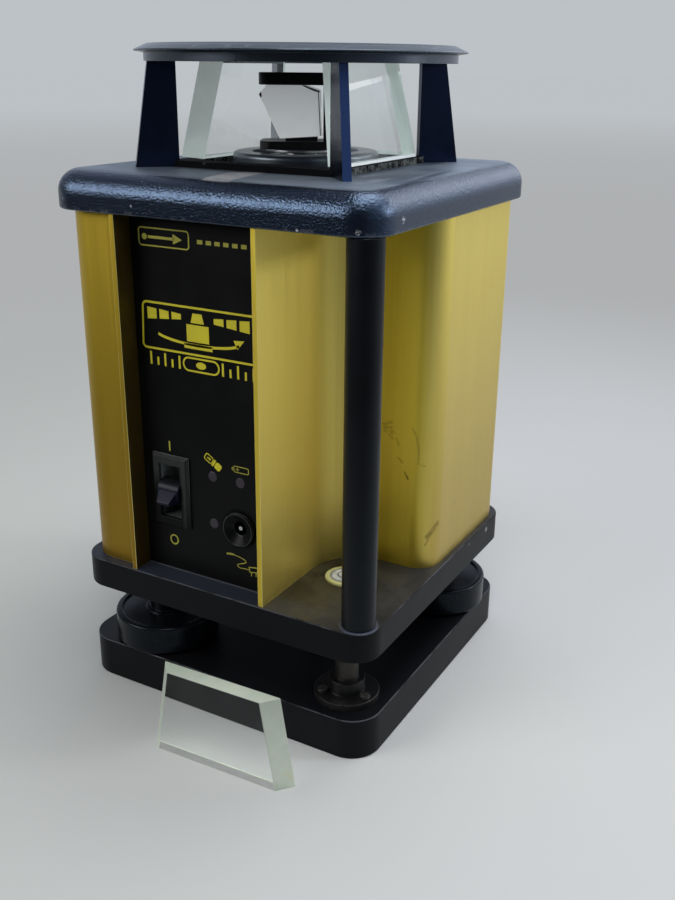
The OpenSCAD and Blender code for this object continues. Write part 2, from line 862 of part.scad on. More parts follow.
module spindle_nut() {
    color(STEEL) translate([0, 0, spindle_bottom]) difference() {
        cylinder(r = spindle_r + 4, h = nut_thick, $fn = 6);
        translate([0, 0, -1]) cylinder(r = spindle_r + fit, h = nut_thick + 2);
    }
}

module motor_pulley() {
    color(GREY) translate([0, motor_at, 0]) {
        translate([0, 0, pulley_z]) pulley(motor_pulley_r, 0);
        translate([0, 0, bracket_z - 6]) cylinder(r = 1.5, h = pulley_z + pulley_h - bracket_z + 6);
    }
}

// Outline round the two pulleys: arcs of the given radii and straight tangent runs
module belt_plan(big, small) {
    lean = asin((big - small) / motor_at);
    circle(big);
    translate([0, motor_at]) circle(small);
    polygon([for (p = [[1, big, 0], [1, small, motor_at], [-1, small, motor_at], [-1, big, 0]])
        [p[0] * p[1] * cos(lean), p[2] + p[1] * sin(lean)]]);
}

module drive_belt() {
    inner = belt_seat + fit;
    color(BLACK) translate([0, 0, pulley_z + pulley_h / 2 - belt_w / 2]) linear_extrude(belt_w)
        difference() {
            belt_plan(pulley_r + inner + belt_t, motor_pulley_r + inner + belt_t);
            belt_plan(pulley_r + inner, motor_pulley_r + inner);
        }
}

module motor() {
    color(GREY) translate([0, motor_at, motor_top - motor_len]) difference() {
        cylinder(r = motor_r, h = motor_len);
        translate([0, 0, motor_len - 7]) cylinder(r = 2, h = 8);
    }
}

module motor_bracket() {
    plate = [bracket_w, 2 * (motor_r + bracket_margin), bracket_t];
    post_x = 21;
    color(STEEL) difference() {
        union() {
            translate([-plate[0] / 2, motor_at - plate[1] / 2, bracket_z]) cube(plate);
            for (x = [-post_x, post_x]) translate([x, motor_at, bracket_z])
                cylinder(r = 3.5, h = roof_z - bracket_z);
        }
        translate([0, motor_at, bracket_z - 1]) cylinder(r = 2.5, h = bracket_t + 2);
    }
}

// Compensator

module compensator_bracket() {
    legs_at = (bracket_in + bracket_out) / 2 + 0.2;
    color(STEEL) difference() {
        union() {
            translate([0, 0, comp_z - ring_h / 2]) ring(bracket_out, bracket_in, ring_h);
            for (a = [45, 135, 270]) rotate([0, 0, a]) translate([legs_at, 0, chassis_top])
                cylinder(r = 4, h = comp_z - ring_h / 2 - chassis_top);
        }
        for (a = [0, 180]) rotate([0, 0, a]) translate([bracket_in - 1, 0, comp_z])
            rod_x(pivot_pin_r + fit, 6);
    }
}

module gimbal_ring() {
    color(BRASS) translate([0, 0, comp_z]) difference() {
        union() {
            translate([0, 0, -ring_h / 2]) ring(gimbal_out, gimbal_in, ring_h);
            for (a = [0, 180]) rotate([0, 0, a]) translate([gimbal_out - 1, 0, 0])
                rod_x(pivot_pin_r, 7);
        }
        for (a = [90, 270]) rotate([0, 0, a]) translate([gimbal_in - 1, 0, 0])
            rod_x(pivot_pin_r + fit, 8);
    }
}

module laser_tube() {
    color(BLACK) {
        translate([0, 0, tube_bottom]) ring(tube_r, tube_r - tube_wall, tube_len);
        for (a = [90, 270]) rotate([0, 0, a]) translate([tube_r - 1, 0, comp_z])
            rod_x(pivot_pin_r, 10.5);
    }
}

module laser_module() {
    color(BRASS) translate([0, 0, tube_bottom + 4])
        cylinder(r = tube_r - tube_wall - fit, h = module_len);
}

module collimator_lens() {
    r = tube_r - tube_wall - fit;
    color(GLASS) translate([0, 0, tube_top - lens_down]) intersection() {
        cylinder(r = r, h = lens_t);
        translate([0, 0, lens_t - lens_round]) sphere(lens_round);
    }
}

module pendulum_weight() {
    color(BRASS) translate([0, 0, tube_bottom - weight_h]) cylinder(r = tube_r, h = weight_h);
}

module damper_cup() {
    color(STEEL) translate([0, 0, chassis_top]) difference() {
        cylinder(r = damper_in + damper_wall, h = damper_top - chassis_top);
        translate([0, 0, 4]) cylinder(r = damper_in, h = damper_top - chassis_top);
    }
}

// Head

module head_fin(grow) {
    x = fin_inner - grow;
    rotate([90, 0, 0]) translate([0, 0, -head_fin_t / 2 - grow])
        linear_extrude(head_fin_t + 2 * grow) polygon([[x, cover_top],
            [fin_foot + grow, cover_top], [fin_top + grow, cap_z], [x, cap_z]]);
}

module head_fins() {
    color(NAVY) difference() {
        for (a = [45:90:315]) rotate([0, 0, a]) head_fin(0);
        for (a = [45:90:315]) rotate([0, 0, a]) translate([cap_screw_at, 0, cap_z - 10])
            cylinder(r = cap_screw_r + fit, h = 11);
    }
}

module window_plinth() {
    ledge = plinth_half - 11;
    color(BLACK) difference() {
        translate([0, 0, cover_top]) linear_extrude(plinth_h) difference() {
            square(2 * plinth_half, center = true);
            square(2 * ledge, center = true);
        }
        for (a = [45:90:315]) rotate([0, 0, a]) head_fin(2 * fit);
    }
}

module window_panes() {
    color(GLASS) for (a = [90, 180, 270]) rotate([0, 0, a + 180])
        translate([0, pane_foot, cover_top + plinth_h + pane_lift]) rotate([pane_lean, 0, 0])
            translate([0, -pane_t, 0]) pane(pane_foot - mitre_gap, pane_h, pane_t);
}

module cap() {
    top = cap_step_h + cap_rim_h;
    bevel = cap_r - cap_step_r + 1.6;
    color(NAVY) difference() {
        translate([0, 0, cap_z]) rotate_extrude() polygon([[0, 0], [cap_step_r, 0],
            [cap_step_r, cap_step_h], [cap_r, cap_step_h + 0.8],
            [cap_r, cap_step_h + 1.5], [cap_r - bevel, top], [0, top]]);
        for (a = [45:90:315]) rotate([0, 0, a]) translate([cap_screw_at, 0, cap_z - 1])
            cylinder(r = cap_screw_r + fit, h = top + 2);
        for (a = [45:90:315]) rotate([0, 0, a])
            translate([cap_screw_at, 0, cap_z + top - 2.5]) cylinder(r = 3.3, h = 3);
        translate([0, 0, cap_z - 1]) linear_extrude(groove_h + 1) difference() {
            square(2 * groove_out, center = true);
            square(2 * groove_in, center = true);
        }
    }
}

module cap_screws() {
    top = cap_z + cap_step_h + cap_rim_h;
    color(STEEL) for (a = [45:90:315]) rotate([0, 0, a]) translate([cap_screw_at, 0, 0]) {
        translate([0, 0, cap_z - 9]) cylinder(r = cap_screw_r, h = top - 2.5 - cap_z + 9);
        translate([0, 0, top - 2.5]) difference() {
            cylinder(r = 3, h = 2.2);
            translate([0, 0, 1.2]) cylinder(r = 1.5, h = 2, $fn = 6);
        }
    }
}

// Plan of a rotor plate, with its free end's corners round
module frame_plan() {
    r = frame_corner_r;
    translate([frame_back + r, -frame_depth / 2])
        square([frame_front - frame_back - r, frame_depth]);
    translate([frame_back, r - frame_depth / 2]) square([r + 1, frame_depth - 2 * r]);
    for (y = [-1, 1]) translate([frame_back + r, y * (frame_depth / 2 - r)]) circle(r);
}

// Side of the tilted seat under the pentaprism
module seat_side() {
    rise = tan(prism_tilt);
    polygon([[-seat_half, -0.5], [seat_half, -0.5],
        [seat_half, seat_h + (seat_half + prism_a / 2) * rise - fit],
        [-seat_half, seat_h + (prism_a / 2 - seat_half) * rise - fit]]);
}

module rotor_frame() {
    top_z = rotor_z + frame_foot_t + frame_gap;
    color(BLACK) rotate([0, 0, beam_heading]) difference() {
        union() {
            translate([0, 0, rotor_z]) linear_extrude(frame_foot_t) frame_plan();
            translate([0, 0, top_z]) linear_extrude(frame_t) frame_plan();
            translate([0, seat_half, rotor_z + frame_foot_t]) rotate([90, 0, 0])
                linear_extrude(2 * seat_half) seat_side();
            translate([wall_in, -frame_depth / 2, rotor_z])
                cube([frame_t, frame_depth, top_z - rotor_z + frame_t]);
        }
        translate([0, 0, rotor_z - 1]) cylinder(r = beam_r - 1, h = frame_foot_t + 6);
        translate([wall_in - 1, 0, prism_z + prism_a / 2]) rod_x(9, frame_t + 2);
    }
}

// Five-sided prism: beam in through the flat foot, out through the upright face
module pentaprism() {
    a = prism_a;
    b = a * (sqrt(2) - 1);
    color([0.80, 0.80, 0.80]) rotate([0, 0, beam_heading]) translate([0, 0, prism_z])
        rotate([90, 0, 0]) translate([0, 0, -a / 2]) linear_extrude(a) intersection() {
            translate([-a / 2, seat_h]) rotate(prism_tilt)
                polygon([[0, 0], [a, 0], [a, a], [0, a + b], [-b, a]]);
            translate([-a, 0]) square([2 * a, frame_gap - 2 * fit]);
        }
}

base_plate();
tripod_bush();
levelling_bushes();
pivot_post();
pivot_screws();
lower_spring_anchor();
hold_down_spring();
loose_window();
pivot_ball();
left_pad();
left_knob();
left_screw();
right_pad();
right_knob();
right_screw();
chassis_plate();
upper_spring_anchor();
casing();
control_panel();
top_cover();
handle_rod();
rod_washer();
rod_studs();
tie_rods();
tie_nuts();
vial_body();
vial_capsule();
switch_housing();
switch_rocker();
charger_socket();
charger_pin();
status_lamps();
circuit_board();
board_standoffs();
battery_pack();
battery_strap();
bearing_housing();
upper_bearing();
lower_bearing();
motor();
motor_bracket();
motor_pulley();
drive_belt();
spindle();
spindle_pulley();
spindle_nut();
compensator_bracket();
damper_cup();
gimbal_ring();
laser_tube();
laser_module();
collimator_lens();
pendulum_weight();
window_plinth();
head_fins();
window_panes();
cap();
cap_screws();
rotor_frame();
pentaprism();
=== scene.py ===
import math
import bmesh
import bpy
from mathutils import Matrix, Vector

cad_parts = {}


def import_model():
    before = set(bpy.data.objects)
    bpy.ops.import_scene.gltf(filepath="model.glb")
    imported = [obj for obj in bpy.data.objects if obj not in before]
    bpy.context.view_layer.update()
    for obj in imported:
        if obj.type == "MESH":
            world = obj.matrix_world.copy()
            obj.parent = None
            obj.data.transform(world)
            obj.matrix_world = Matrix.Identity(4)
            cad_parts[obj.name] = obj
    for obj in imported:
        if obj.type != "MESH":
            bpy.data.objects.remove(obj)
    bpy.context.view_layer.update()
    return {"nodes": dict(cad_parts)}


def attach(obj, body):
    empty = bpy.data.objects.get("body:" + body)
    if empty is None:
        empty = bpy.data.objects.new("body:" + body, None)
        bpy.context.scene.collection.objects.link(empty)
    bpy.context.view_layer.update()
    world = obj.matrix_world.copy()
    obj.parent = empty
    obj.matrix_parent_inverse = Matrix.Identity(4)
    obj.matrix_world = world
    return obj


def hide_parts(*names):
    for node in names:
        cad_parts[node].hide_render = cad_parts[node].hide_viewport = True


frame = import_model()
NODES = frame["nodes"]
MM = 0.001

# Camera solved from the photograph, in the frame's millimetres and degrees
CAMERA_AT = (315.7, -517.4, 369.6)
CAMERA_AZIMUTH = 29.288
CAMERA_ELEVATION = 20.933
CAMERA_ROLL = 0.58
CAMERA_LENS = 40.41
CAMERA_SENSOR = 36

# Places on the model that the finishes and thin pieces follow, in millimetres
PLATE_TOP = 82.25
PANEL_FRONT = -88.0
PANEL_LEFT = -56.2
PANEL_RIGHT = 31.3
RECESS_LEFT = -56.4
NOTCH_WALL = -14.5
COVER_FOOT = 294.4
VIAL_XY = (57.0, -45.5)
PIVOT_XY = (78.5, -78.5)
PRISM_FRONT = 12.04
BEAD_FOOT = 318.55
BEAD_TOP = 320.0
BEAD_FACE = 49.15
BEAD_LEAN = 0.5

# Heights of the thin pieces above their face, and how deep the print and the others start below it
PRINT_DEPTH = 0.07
INK_DEPTH = 0.08
EDGE_DEPTH = 0.25
PRINT_SUNK = 0.02
TILE_SUNK = 0.05

# Direction across the picture, seen from above, which the prism's front face also follows
ACROSS_X = 0.872
ACROSS_Y = 0.489

# Brown smudges on the gold: start, end, width and strength
SMUDGES = (
    ((64.5, NOTCH_WALL, 171.6), (70, NOTCH_WALL, 173.6), 1.0, 0.5),
    ((65.2, NOTCH_WALL, 169.2), (70, NOTCH_WALL, 170.6), 0.9, 0.5),
    ((68.6, NOTCH_WALL, 165.7), (70.6, NOTCH_WALL, 163.6), 0.9, 0.6),
    ((73.4, NOTCH_WALL, 164.1), (74.9, NOTCH_WALL, 160.4), 0.9, 0.5),
    ((74.7, NOTCH_WALL, 152.4), (77.6, NOTCH_WALL, 149.6), 0.8, 0.6),
    ((79.5, NOTCH_WALL, 143.8), (81.5, NOTCH_WALL, 140.2), 1.1, 1.0),
    ((83.6, NOTCH_WALL, 172.2), (86.3, -14.2, 167.1), 1.0, 0.4),
    ((86.3, -14.2, 167.1), (87.8, -13.8, 158.7), 1.0, 0.5),
    ((87.8, -13.8, 158.7), (87.8, -13.8, 150.5), 0.9, 0.4),
    ((89.3, -13.2, 150), (91.5, -12, 149.2), 0.8, 0.4),
    ((93.9, -10, 103.2), (97.4, -4.2, 110.8), 2.4, 0.8),
    ((93.0, -10.9, 97.8), (94.4, -9.6, 101.6), 1.0, 0.7),
    ((98.2, 17.5, 113.8), (98.2, 19, 117.2), 1.0, 0.35),
)

# Chips in the cover's paint and nicks in the chassis plate: centre and radius
COVER_CHIPS = (
    ((-41.6, -103, 299.2), 0.9), ((103, -75.9, 300.1), 2.6), ((92, -101, 296.5), 1.8),
    ((-89.5, -101, 300), 1.8), ((-36, -99, 311), 1.1), ((60, -103, 295.2), 1.2),
)
PLATE_NICKS = (((101.6, 40, 79), 1.2), ((101.6, 70, 77.5), 2.6))


def look(position, azimuth, elevation, roll, lens):
    """Camera at the photograph's viewing angle."""
    az, el, ro = (math.radians(v) for v in (azimuth, elevation, roll))
    back = Vector((math.sin(az) * math.cos(el), -math.cos(az) * math.cos(el), math.sin(el)))
    right = Vector((math.cos(az), math.sin(az), 0))
    up = back.cross(right)
    turned_right = right * math.cos(ro) + up * math.sin(ro)
    turned_up = up * math.cos(ro) - right * math.sin(ro)
    data = bpy.data.cameras.new("camera")
    data.lens = lens
    data.sensor_width = CAMERA_SENSOR
    data.clip_start = 0.01
    camera = bpy.data.objects.new("camera", data)
    m = Matrix.Identity(4)
    for i in range(3):
        m[i][0], m[i][1], m[i][2], m[i][3] = turned_right[i], turned_up[i], back[i], position[i] * MM
    camera.matrix_world = m
    bpy.context.collection.objects.link(camera)
    bpy.context.scene.camera = camera


def srgb(r, g, b):
    """Colour from screen values 0 to 255."""
    def lin(v):
        v /= 255.0
        return v / 12.92 if v <= 0.04045 else ((v + 0.055) / 1.055) ** 2.4
    return (lin(r), lin(g), lin(b), 1.0)


class Shade:
    """A node material built step by step. Its along, slant, near and stroke take places in millimetres."""

    def __init__(self, name, color, rough, metal=0.0, **sockets):
        self.mat = bpy.data.materials.new(name)
        self.mat.use_nodes = True
        self.nt = self.mat.node_tree
        self.out = self.nt.nodes["Material Output"]
        self.bsdf = self.nt.nodes["Principled BSDF"]
        self.set("Base Color", color)
        self.set("Roughness", rough)
        self.set("Metallic", metal)
        for key, value in sockets.items():
            self.set(key.replace("_", " "), value)
        self.tex = self.node("ShaderNodeTexCoord").outputs["Object"]
        self.geo = self.node("ShaderNodeNewGeometry")
        self.at = dict(zip("xyz", self.split(self.tex)))
        self.facing = dict(zip("xyz", self.split(self.geo.outputs["Normal"])))

    def put(self, socket, value):
        if isinstance(value, bpy.types.NodeSocket):
            self.nt.links.new(value, socket)
        else:
            socket.default_value = value

    def set(self, key, value):
        self.put(self.bsdf.inputs[key], value)

    def node(self, kind, inputs=(), **settings):
        n = self.nt.nodes.new(kind)
        for key, value in settings.items():
            setattr(n, key, value)
        for key, value in dict(inputs).items():
            self.put(n.inputs[key], value)
        return n

    def split(self, vector):
        return self.node("ShaderNodeSeparateXYZ", {0: vector}).outputs

    def noise(self, scale, detail, rough, vector=None):
        inputs = {"Vector": vector or self.tex, "Scale": scale, "Detail": detail, "Roughness": rough}
        return self.node("ShaderNodeTexNoise", inputs).outputs["Fac"]

    def grain(self, x, y, z, detail, rough):
        """Noise with its own scale along each axis."""
        stretched = self.node("ShaderNodeMapping", {"Vector": self.tex, "Scale": (x, y, z)})
        return self.noise(1.0, detail, rough, stretched.outputs[0])

    def pebbles(self, scale, smooth):
        inputs = {"Vector": self.tex, "Scale": scale, "Smoothness": smooth}
        return self.node("ShaderNodeTexVoronoi", inputs, feature="SMOOTH_F1").outputs["Distance"]

    def band(self, value, low, high, a=0.0, b=1.0):
        """A smooth step from a at low to b at high."""
        inputs = {"Value": value, "From Min": low, "From Max": high, "To Min": a, "To Max": b}
        return self.node("ShaderNodeMapRange", inputs, interpolation_type="SMOOTHSTEP").outputs[0]

    def math(self, op, a, b=0.0, clamp=False):
        return self.node("ShaderNodeMath", {0: a, 1: b}, operation=op, use_clamp=clamp).outputs[0]

    def vector(self, op, inputs, output="Vector"):
        return self.node("ShaderNodeVectorMath", inputs, operation=op).outputs[output]

    def times(self, first, *others):
        for other in others:
            first = self.math("MULTIPLY", first, other)
        return first

    def mix(self, fac, a, b):
        return self.node("ShaderNodeMix", {0: fac, 6: a, 7: b}, data_type="RGBA").outputs[2]

    def blend(self, fac, a, b):
        return self.node("ShaderNodeMix", {0: fac, 2: a, 3: b}).outputs[0]

    def over(self, color, new, *masks):
        """A new colour laid over another where all the masks meet."""
        return self.mix(self.times(*masks), color, new)

    def mottle(self, scale, detail, rough, low, high, a=0.0, b=1.0):
        return self.band(self.noise(scale, detail, rough), low, high, a, b)

    def along(self, axis, low, high, a=0.0, b=1.0):
        return self.band(self.at[axis], low * MM, high * MM, a, b)

    def slant(self, x, y, low, high, a=0.0, b=1.0):
        """A step across a slanted line in plan, with x and y weighted."""
        total = self.math("ADD", self.times(self.at["x"], x), self.times(self.at["y"], y))
        return self.band(total, low * MM, high * MM, a, b)

    def distance(self, point):
        """Distance in metres from a point. Two values stand for x and y alone."""
        total = 0.0
        for axis, centre in zip("xyz", point):
            d = self.math("SUBTRACT", self.at[axis], centre * MM)
            total = self.math("ADD", self.times(d, d), total)
        return self.math("SQRT", total)

    def near(self, point, radius):
        """1 at a point, falling to 0 at the radius."""
        return self.band(self.distance(point), radius * MM, 0.25 * radius * MM)

    def spots(self, places):
        total = 0.0
        for point, radius in places:
            total = self.math("ADD", self.near(point, radius), total, clamp=True)
        return total

    def stroke(self, start, end, width):
        """1 along a short line between two points, falling to 0 at its width."""
        a, b = Vector(start) * MM, Vector(end) * MM
        line = b - a
        offset = self.vector("SUBTRACT", {0: self.tex, 1: tuple(a)})
        reach = self.vector("DOT_PRODUCT", {0: offset, 1: tuple(line)}, "Value")
        part = self.math("MULTIPLY", reach, 1.0 / line.length_squared, clamp=True)
        nearest = self.vector("SCALE", {0: tuple(line), "Scale": part})
        away = self.vector("SUBTRACT", {0: offset, 1: nearest})
        return self.band(self.vector("LENGTH", {0: away}, "Value"), width * MM, 0.3 * width * MM)

    def bump(self, height, strength, distance):
        inputs = {"Strength": strength, "Distance": distance * MM, "Height": height}
        self.set("Normal", self.node("ShaderNodeBump", inputs).outputs[0])


def gold_material():
    s = Shade("gold_anodised", srgb(204, 184, 70), 0.38, 0.82, Coat_Weight=0.2, Coat_Roughness=0.36)
    streak = s.grain(1100, 1100, 5, 4, 0.6)
    broad = s.band(s.grain(70, 70, 1.6, 3, 0.5), 0.3, 0.7)
    grit = s.noise(420, 3, 0.6)
    rise = s.along("z", 70, 290)
    # Painted shade and light: darker towards the bottom and lighter towards the top, with a random mottle
    lower_shade = s.mix(broad, srgb(168, 134, 18), srgb(174, 142, 24))
    clear = s.mix(broad, srgb(212, 186, 52), srgb(220, 195, 60))
    color = s.mix(rise, lower_shade, clear)
    # Painted shade and light: the left strip is darker, the handle notch lighter, and the right side paler as a
    # painted sheen of the light from the right, all lighter towards the top
    left_strip_shade = s.mix(rise, srgb(140, 108, 12), srgb(186, 158, 44))
    color = s.over(color, left_strip_shade, s.along("x", -52, -58, 0.0, 0.8))
    notch = s.times(s.along("x", 0, 45), s.along("x", 97.8, 92), s.along("y", -2.5, -8))
    color = s.over(color, srgb(250, 226, 84), notch, s.along("z", 90, 240, 0.55, 0.95))
    right_side = s.mix(s.along("z", 80, 280), srgb(192, 174, 104), srgb(236, 220, 134))
    color = s.over(color, right_side, s.band(s.facing["x"], 0.2, 0.68), 0.55)
    color = s.over(color, srgb(186, 160, 46), s.band(streak, 0.45, 0.75), 0.1)
    color = s.over(color, srgb(150, 126, 66), s.mottle(15, 4, 0.6, 0.5, 0.72), s.along("z", 200, 85), 0.2)
    marks = s.times(s.near((68, NOTCH_WALL, 169), 7), s.mottle(230, 5, 0.7, 0.5, 0.62, 0.0, 0.5))
    for start, end, width, strength in SMUDGES:
        marks = s.math("MAXIMUM", marks, s.times(s.stroke(start, end, width), strength))
    color = s.over(color, srgb(84, 66, 16), marks, s.band(grit, 0.35, 0.6, 0.55, 1.0), 0.7)
    foot = s.along("z", PLATE_TOP + 7.75, PLATE_TOP + 0.25)
    color = s.over(color, srgb(96, 84, 46), foot, s.mottle(60, 4, 0.6, 0.35, 0.65), 0.3)
    # Painted shade on the left wall of the panel recess
    recess_wall_shade = s.times(s.along("x", RECESS_LEFT - 0.2, RECESS_LEFT), s.along("x", 0, -30),
                          s.along("y", PANEL_FRONT + 1.0, PANEL_FRONT + 0.4))
    color = s.over(color, srgb(76, 58, 14), recess_wall_shade, 0.9)
    s.set("Base Color", color)
    s.set("Roughness", s.blend(s.band(streak, 0.3, 0.7), 0.4, 0.5))
    s.bump(s.math("ADD", streak, s.times(grit, 0.4)), 0.14, 0.05)
    return s.mat


def crinkle_material():
    s = Shade("crinkle_paint", srgb(14, 20, 36), 0.3, 0.0, IOR=1.95)
    s.set("Specular Tint", (0.36, 0.54, 0.86, 1))
    up = s.facing["z"]
    ragged = s.times(s.math("SUBTRACT", s.noise(38, 4, 0.6), 0.5), 0.05)
    top = s.band(s.math("ADD", up, ragged), 0.93, 0.985)
    smear = s.grain(12, 24, 10, 4, 0.6)
    # Faces to the right are painted lighter: a painted sheen of the light from the right
    color = s.mix(s.band(s.facing["x"], 0.45, 0.8, 0.0, 0.25), srgb(8, 11, 20), srgb(44, 56, 74))
    # Dust on the top, thicker towards the back right
    reach = s.slant(0.8, 0.4, -80, 60, 0.62, 0.95)
    color = s.over(color, srgb(102, 111, 121), top, reach, s.band(smear, 0.34, 0.62, 0.6, 1.0))
    # Pale residue near the front edge
    strip = s.times(s.slant(1, 0.16, -17.2, -16.0), s.slant(1, 0.16, 1.4, 0.0))
    patch = s.times(strip, s.slant(-0.875, 1, -56.2, -57.6))
    blotch = s.band(s.grain(50, 90, 10, 3, 0.5), 0.3, 0.5, 0.45, 1.0)
    color = s.over(color, srgb(158, 156, 158), patch, blotch, s.band(up, 0.9, 0.97), 0.8)
    # Darker streaks on the top beside the right-hand fins
    close = s.math("MAXIMUM", s.near((54, 50), 26), s.near((88, -40), 46))
    dark = s.times(close, s.band(s.grain(80, 22, 10, 4, 0.6), 0.42, 0.56))
    color = s.over(color, srgb(32, 38, 50), dark, top, 0.8)
    # Dark line along the right edge
    seam = s.math("SUBTRACT", s.at["x"], s.along("y", 5, -75, 88.6 * MM, 95.6 * MM))
    seam = s.times(s.band(s.math("ABSOLUTE", seam), 3.6 * MM, 1.0 * MM), s.along("y", 20, -10))
    color = s.over(color, srgb(20, 26, 38), seam, s.band(up, 0.6, 0.9), s.band(smear, 0.3, 0.55, 0.35, 0.8))
    # Rubbed lower edge and chips
    rubbed = s.times(s.along("z", COVER_FOOT + 2.8, COVER_FOOT), s.mottle(150, 4, 0.65, 0.54, 0.64))
    color = s.over(color, srgb(92, 92, 96), rubbed, 0.45)
    color = s.over(color, srgb(200, 206, 210), s.spots(COVER_CHIPS), s.mottle(700, 3, 0.7, 0.44, 0.56), 0.9)
    s.set("Base Color", color)
    s.set("Roughness", s.blend(top, 0.24, 0.5))
    height = s.math("ADD", s.times(s.pebbles(820, 0.5), -0.8), s.times(s.noise(1050, 3, 0.6), 0.9))
    s.bump(height, s.blend(top, s.band(up, 0.1, 0.5, 0.5, 0.85), 0.3), 0.32)
    return s.mat


def plate_material():
    s = Shade("plate_black", srgb(12, 13, 16), 0.4, 0.0, Specular_IOR_Level=0.1)
    cloud = s.noise(24, 5, 0.65)
    up = s.facing["z"]
    top = s.band(up, 0.9, 0.99)
    upper_face = s.along("z", PLATE_TOP - 0.75, PLATE_TOP - 0.05)
    haze = s.times(upper_face, s.band(cloud, 0.35, 0.75, 0.0, 0.12))
    sill = s.times(upper_face, s.along("y", -84, -88, 0.0, 0.18))
    color = s.mix(s.times(top, s.math("MAXIMUM", haze, sill)), srgb(12, 13, 16), srgb(84, 92, 112))
    # Dust in the handle notch, olive near the casing as a painted reflection of the gold
    notch_dust_and_reflection = s.times(top, s.along("x", 26, 36), upper_face, s.mottle(55, 5, 0.65, 0.35, 0.65, 0.5, 1.1), 0.66)
    color = s.mix(notch_dust_and_reflection, color, s.mix(s.along("x", 60, 98), srgb(76, 72, 52), srgb(58, 58, 58)))
    # Grime beside the vial, rims lighter as worn paint and painted highlight, and nicks
    grime = s.times(s.near((43, -51), 9), s.mottle(300, 4, 0.6, 0.48, 0.58))
    color = s.over(color, srgb(24, 22, 18), grime, top, 0.7)
    rim_wear_and_highlight = s.times(s.band(up, 0.25, 0.5), s.band(up, 0.96, 0.85))
    color = s.over(color, srgb(92, 96, 104), rim_wear_and_highlight, s.mottle(45, 5, 0.65, 0.42, 0.58), 0.45)
    color = s.over(color, srgb(150, 150, 146), s.spots(PLATE_NICKS), 0.7)
    s.set("Base Color", color)
    s.set("Roughness", s.blend(s.band(cloud, 0.3, 0.7), 0.38, 0.42))
    s.bump(s.noise(1500, 2, 0.5), 0.12, 0.05)
    return s.mat


def satin_material(name, color, rough, tint=None, worn=None, sheen=None, level=0.5, glow=0.0,
                   ior=1.5, metal=0.0, grain=1400, depth=0.05):
    """Plain finish: tint varies the colour, worn shows in scuffs, sheen colours the reflections, glow makes the
    colour glow as painted light.
    """
    s = Shade(name, color, rough, metal, Specular_IOR_Level=level, IOR=ior)
    if sheen:
        s.set("Specular Tint", sheen)
    if glow:
        s.set("Emission Color", color)
        s.set("Emission Strength", glow)
    cloud = s.noise(30, 4, 0.6)
    base = s.mix(s.band(cloud, 0.35, 0.7), color, tint) if tint else color
    if worn:
        base = s.over(base, worn, s.band(s.grain(70, 70, 42, 5, 0.7), 0.68, 0.76), 0.35)
    s.set("Base Color", base)
    s.set("Roughness", s.blend(s.band(cloud, 0.3, 0.7), rough * 0.85, min(1.0, rough * 1.15)))
    s.bump(s.noise(grain, 2, 0.5), 0.15, depth)
    return s.mat


def plinth_material():
    s = Shade("plinth_black", srgb(10, 11, 14), 0.75, 0.0, Specular_IOR_Level=0.05)
    right_side = s.band(s.facing["x"], 0.4, 0.8)
    color = s.over(srgb(10, 11, 14), srgb(104, 108, 106), right_side, s.mottle(220, 5, 0.75, 0.4, 0.6))
    s.set("Base Color", s.over(color, srgb(84, 88, 92), s.mottle(90, 5, 0.7, 0.62, 0.72), 0.5))
    return s.mat


def fin_material():
    s = Shade("fin_navy", srgb(4, 6, 13), 0.26, 0.0, IOR=1.7)
    s.set("Specular Tint", (0.3, 0.46, 1, 1))
    cloud = s.noise(30, 4, 0.6)
    # End faces to the right are painted a lighter blue: a painted sheen of the light from the right
    outer_end = s.times(s.slant(1, -1, 119, 125), s.band(s.facing["x"], 0.2, 0.5))
    base = s.mix(s.band(cloud, 0.35, 0.7), srgb(4, 6, 13), srgb(6, 8, 17))
    base = s.over(base, srgb(35, 53, 92), outer_end)
    s.set("Base Color", s.over(base, srgb(24, 32, 56), s.mottle(70, 5, 0.7, 0.68, 0.76), 0.35))
    s.set("Specular IOR Level", s.band(s.facing["x"], -0.4, -0.6, 0.5, 0.3))
    s.set("Roughness", s.band(cloud, 0.3, 0.7, 0.22, 0.3))
    s.bump(s.noise(1400, 2, 0.5), 0.15, 0.05)
    return s.mat


def pivot_material():
    s = Shade("pivot_dark", srgb(24, 23, 21), 0.42, 0.3)
    # Painted light: the flange is lighter, in a mottle, towards the right, and the post lighter on its lit side
    stain = s.mottle(90, 4, 0.65, 0.45, 0.7)
    right = s.slant(1, -1, 156, 172, 0.3, 1.0)
    color = s.over(srgb(15, 15, 15), srgb(40, 39, 37), stain, right)
    lit_post_side = s.times(s.near(PIVOT_XY, 8), s.along("z", 36, 40))
    s.set("Base Color", s.mix(lit_post_side, color, srgb(46, 41, 34)))
    s.bump(s.noise(600, 3, 0.6), 0.15, 0.05)
    return s.mat


def switch_material():
    s = Shade("switch_black", srgb(20, 21, 22), 0.42, 0.0, Specular_IOR_Level=0.1)
    # Painted light: the bezel is lighter at the top as lit from above, and along its right rim as a painted
    # highlight
    painted_lit_top = s.times(s.along("z", 132, 150), s.mottle(160, 4, 0.6, 0.25, 0.55, 0.6, 1.0))
    right = s.times(s.along("x", -27.5, -26), s.along("z", 108, 135, 0.25, 1.0))
    color = s.mix(s.math("MAXIMUM", painted_lit_top, right), srgb(10, 11, 12), srgb(46, 49, 48))
    # The hollow inside is painted pale grey: painted light where the lamps barely reach
    hollow = s.times(s.along("y", -89.2, -88.4), s.along("z", 126, 140, 0.3, 1.0))
    s.set("Base Color", s.mix(hollow, color, srgb(130, 134, 132)))
    s.bump(s.noise(1800, 2, 0.5), 0.12, 0.04)
    return s.mat


